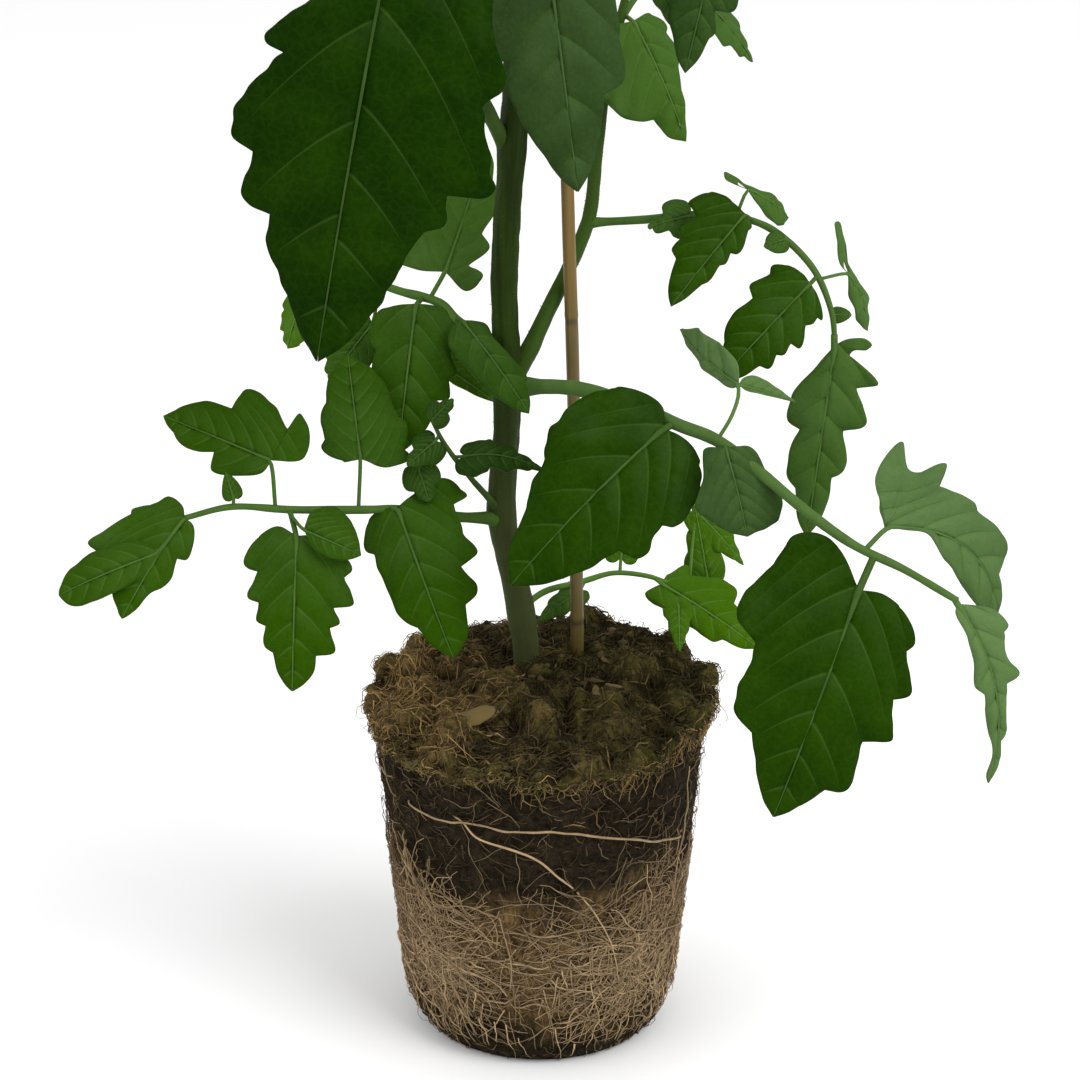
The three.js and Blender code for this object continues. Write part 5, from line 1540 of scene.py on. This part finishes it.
class PLANT_OT_stake(bpy.types.Operator):
    """Bamboo stake with its joints and a sawn top"""

    bl_idname = "plant.stake"
    bl_label = "Stake"

    def execute(self, context):
        settings = context.scene.plant_stake
        centre = flow(STAKE_PATH, spacing=0.8)
        height = centre[:, 2:]
        around = rings(20)
        ring = sum(np.exp(-(((height - z) / 0.9) ** 2)) for z in STAKE_JOINTS)
        lip = sum(np.exp(-(((height - z - 1.6) / 0.8) ** 2)) for z in STAKE_JOINTS)
        where = np.stack(np.broadcast_arrays(np.cos(around) * 2, np.sin(around) * 2, height * 0.15), -1)
        radius = along_radii(STAKE_RADII, len(centre))[:, None] * (0.93 + 0.05 * lip - 0.03 * ring)
        radius = radius * (1 + 0.03 * noise(where, 1.6, 95))
        cane = tubes(centre[None], radius[None], 20, joint=ring[None, :, 0])
        lay("stake_cane", [cane], [bamboo_finish(settings)], ["stake"])
        return {"FINISHED"}


class PLANT_OT_leaves(bpy.types.Operator):
    """Leaves: each with its stalk, leaflets, midribs and veins"""

    bl_idname = "plant.leaves"
    bl_label = "Leaves"

    def execute(self, context):
        settings = context.scene.plant_leaves
        finishes = [blade_finish(settings), stalk_finish(settings)]
        for number, (name, leaf) in enumerate(LEAVES.items(), start=1):
            lay(name + "_fine", leaf_shells(leaf, number, settings), finishes, [name])
        return {"FINISHED"}


class PLANT_OT_stage(bpy.types.Operator):
    """Stage: a plain pale floor, soft lights and the camera"""

    bl_idname = "plant.stage"
    bl_label = "Stage"

    def execute(self, context):
        settings = context.scene.plant_stage
        scene = context.scene
        half = settings.floor_size / 2
        mesh = bpy.data.meshes.new("floor")
        corners = [(-half, -half, 0), (half, -half, 0), (half, half, 0), (-half, half, 0)]
        mesh.from_pydata(corners, [], [(0, 1, 2, 3)])
        paint = Finish("floor_paint", Roughness=0.9, Specular_IOR_Level=0.1)
        mesh.materials.append(paint.done(settings.floor_colour))
        floor = bpy.data.objects.new("floor", mesh)
        floor.location.z = -0.2 * MM
        scene.collection.objects.link(floor)

        world = bpy.data.worlds.new("sky")
        world.use_nodes = True
        sky = world.node_tree.nodes["Background"]
        sky.inputs["Color"].default_value = (1, 1, 1, 1)
        sky.inputs["Strength"].default_value = settings.sky
        scene.world = world
        for name, power, size, place in (
            ("key_light", settings.key, 1.4, (1.1, -0.9, 1.7)),
            ("fill_light", settings.fill, 1.6, (-1.5, -0.6, 1.1)),
        ):
            lamp = bpy.data.lights.new(name, "AREA")
            lamp.energy = power
            lamp.size = size
            light = bpy.data.objects.new(name, lamp)
            light.location = place
            aim = np.array((0, 0, 0.2)) - np.array(place)
            flat = math.hypot(aim[0], aim[1])
            light.rotation_euler = (math.atan2(flat, -aim[2]), 0, math.atan2(aim[1], aim[0]) - math.pi / 2)
            scene.collection.objects.link(light)

        eye = bpy.data.cameras.new("camera")
        eye.lens = settings.lens
        eye.sensor_width = 36
        eye.clip_end = 100
        camera = bpy.data.objects.new("camera", eye)
        camera.location = (0, -settings.camera_distance, settings.camera_height)
        camera.rotation_euler = (math.pi / 2 - settings.camera_tilt, 0, 0)
        scene.collection.objects.link(camera)
        scene.camera = camera
        scene.view_settings.view_transform = "Standard"
        return {"FINISHED"}


OPERATORS = (
    PLANT_OT_root_ball,
    PLANT_OT_moss,
    PLANT_OT_roots,
    PLANT_OT_stem,
    PLANT_OT_stake,
    PLANT_OT_leaves,
    PLANT_OT_stage,
)


class PLANT_PT_panel(bpy.types.Panel):
    """The plant's pieces, with their sizes and colours"""

    bl_label = "Tomato plant"
    bl_idname = "PLANT_PT_panel"
    bl_space_type = "VIEW_3D"
    bl_region_type = "UI"
    bl_category = "Plant"

    def draw(self, context):
        for operator in OPERATORS:
            self.layout.operator(operator.bl_idname)
        for group, kind in GROUPS.items():
            box = self.layout.box()
            box.label(text=kind.__doc__.rstrip("."))
            for key in kind.__annotations__:
                box.prop(getattr(context.scene, group), key)


def register():
    for kind in (*GROUPS.values(), *OPERATORS, PLANT_PT_panel):
        bpy.utils.register_class(kind)
    for group, kind in GROUPS.items():
        setattr(bpy.types.Scene, group, PointerProperty(type=kind))


def unregister():
    for group in GROUPS:
        delattr(bpy.types.Scene, group)
    for kind in reversed((*GROUPS.values(), *OPERATORS, PLANT_PT_panel)):
        bpy.utils.unregister_class(kind)


def main():
    register()
    bpy.ops.plant.root_ball()
    bpy.ops.plant.moss()
    bpy.ops.plant.roots()
    bpy.ops.plant.stem()
    bpy.ops.plant.stake()
    bpy.ops.plant.leaves()
    bpy.ops.plant.stage()
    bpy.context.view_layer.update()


if __name__ == "__main__":
    main()
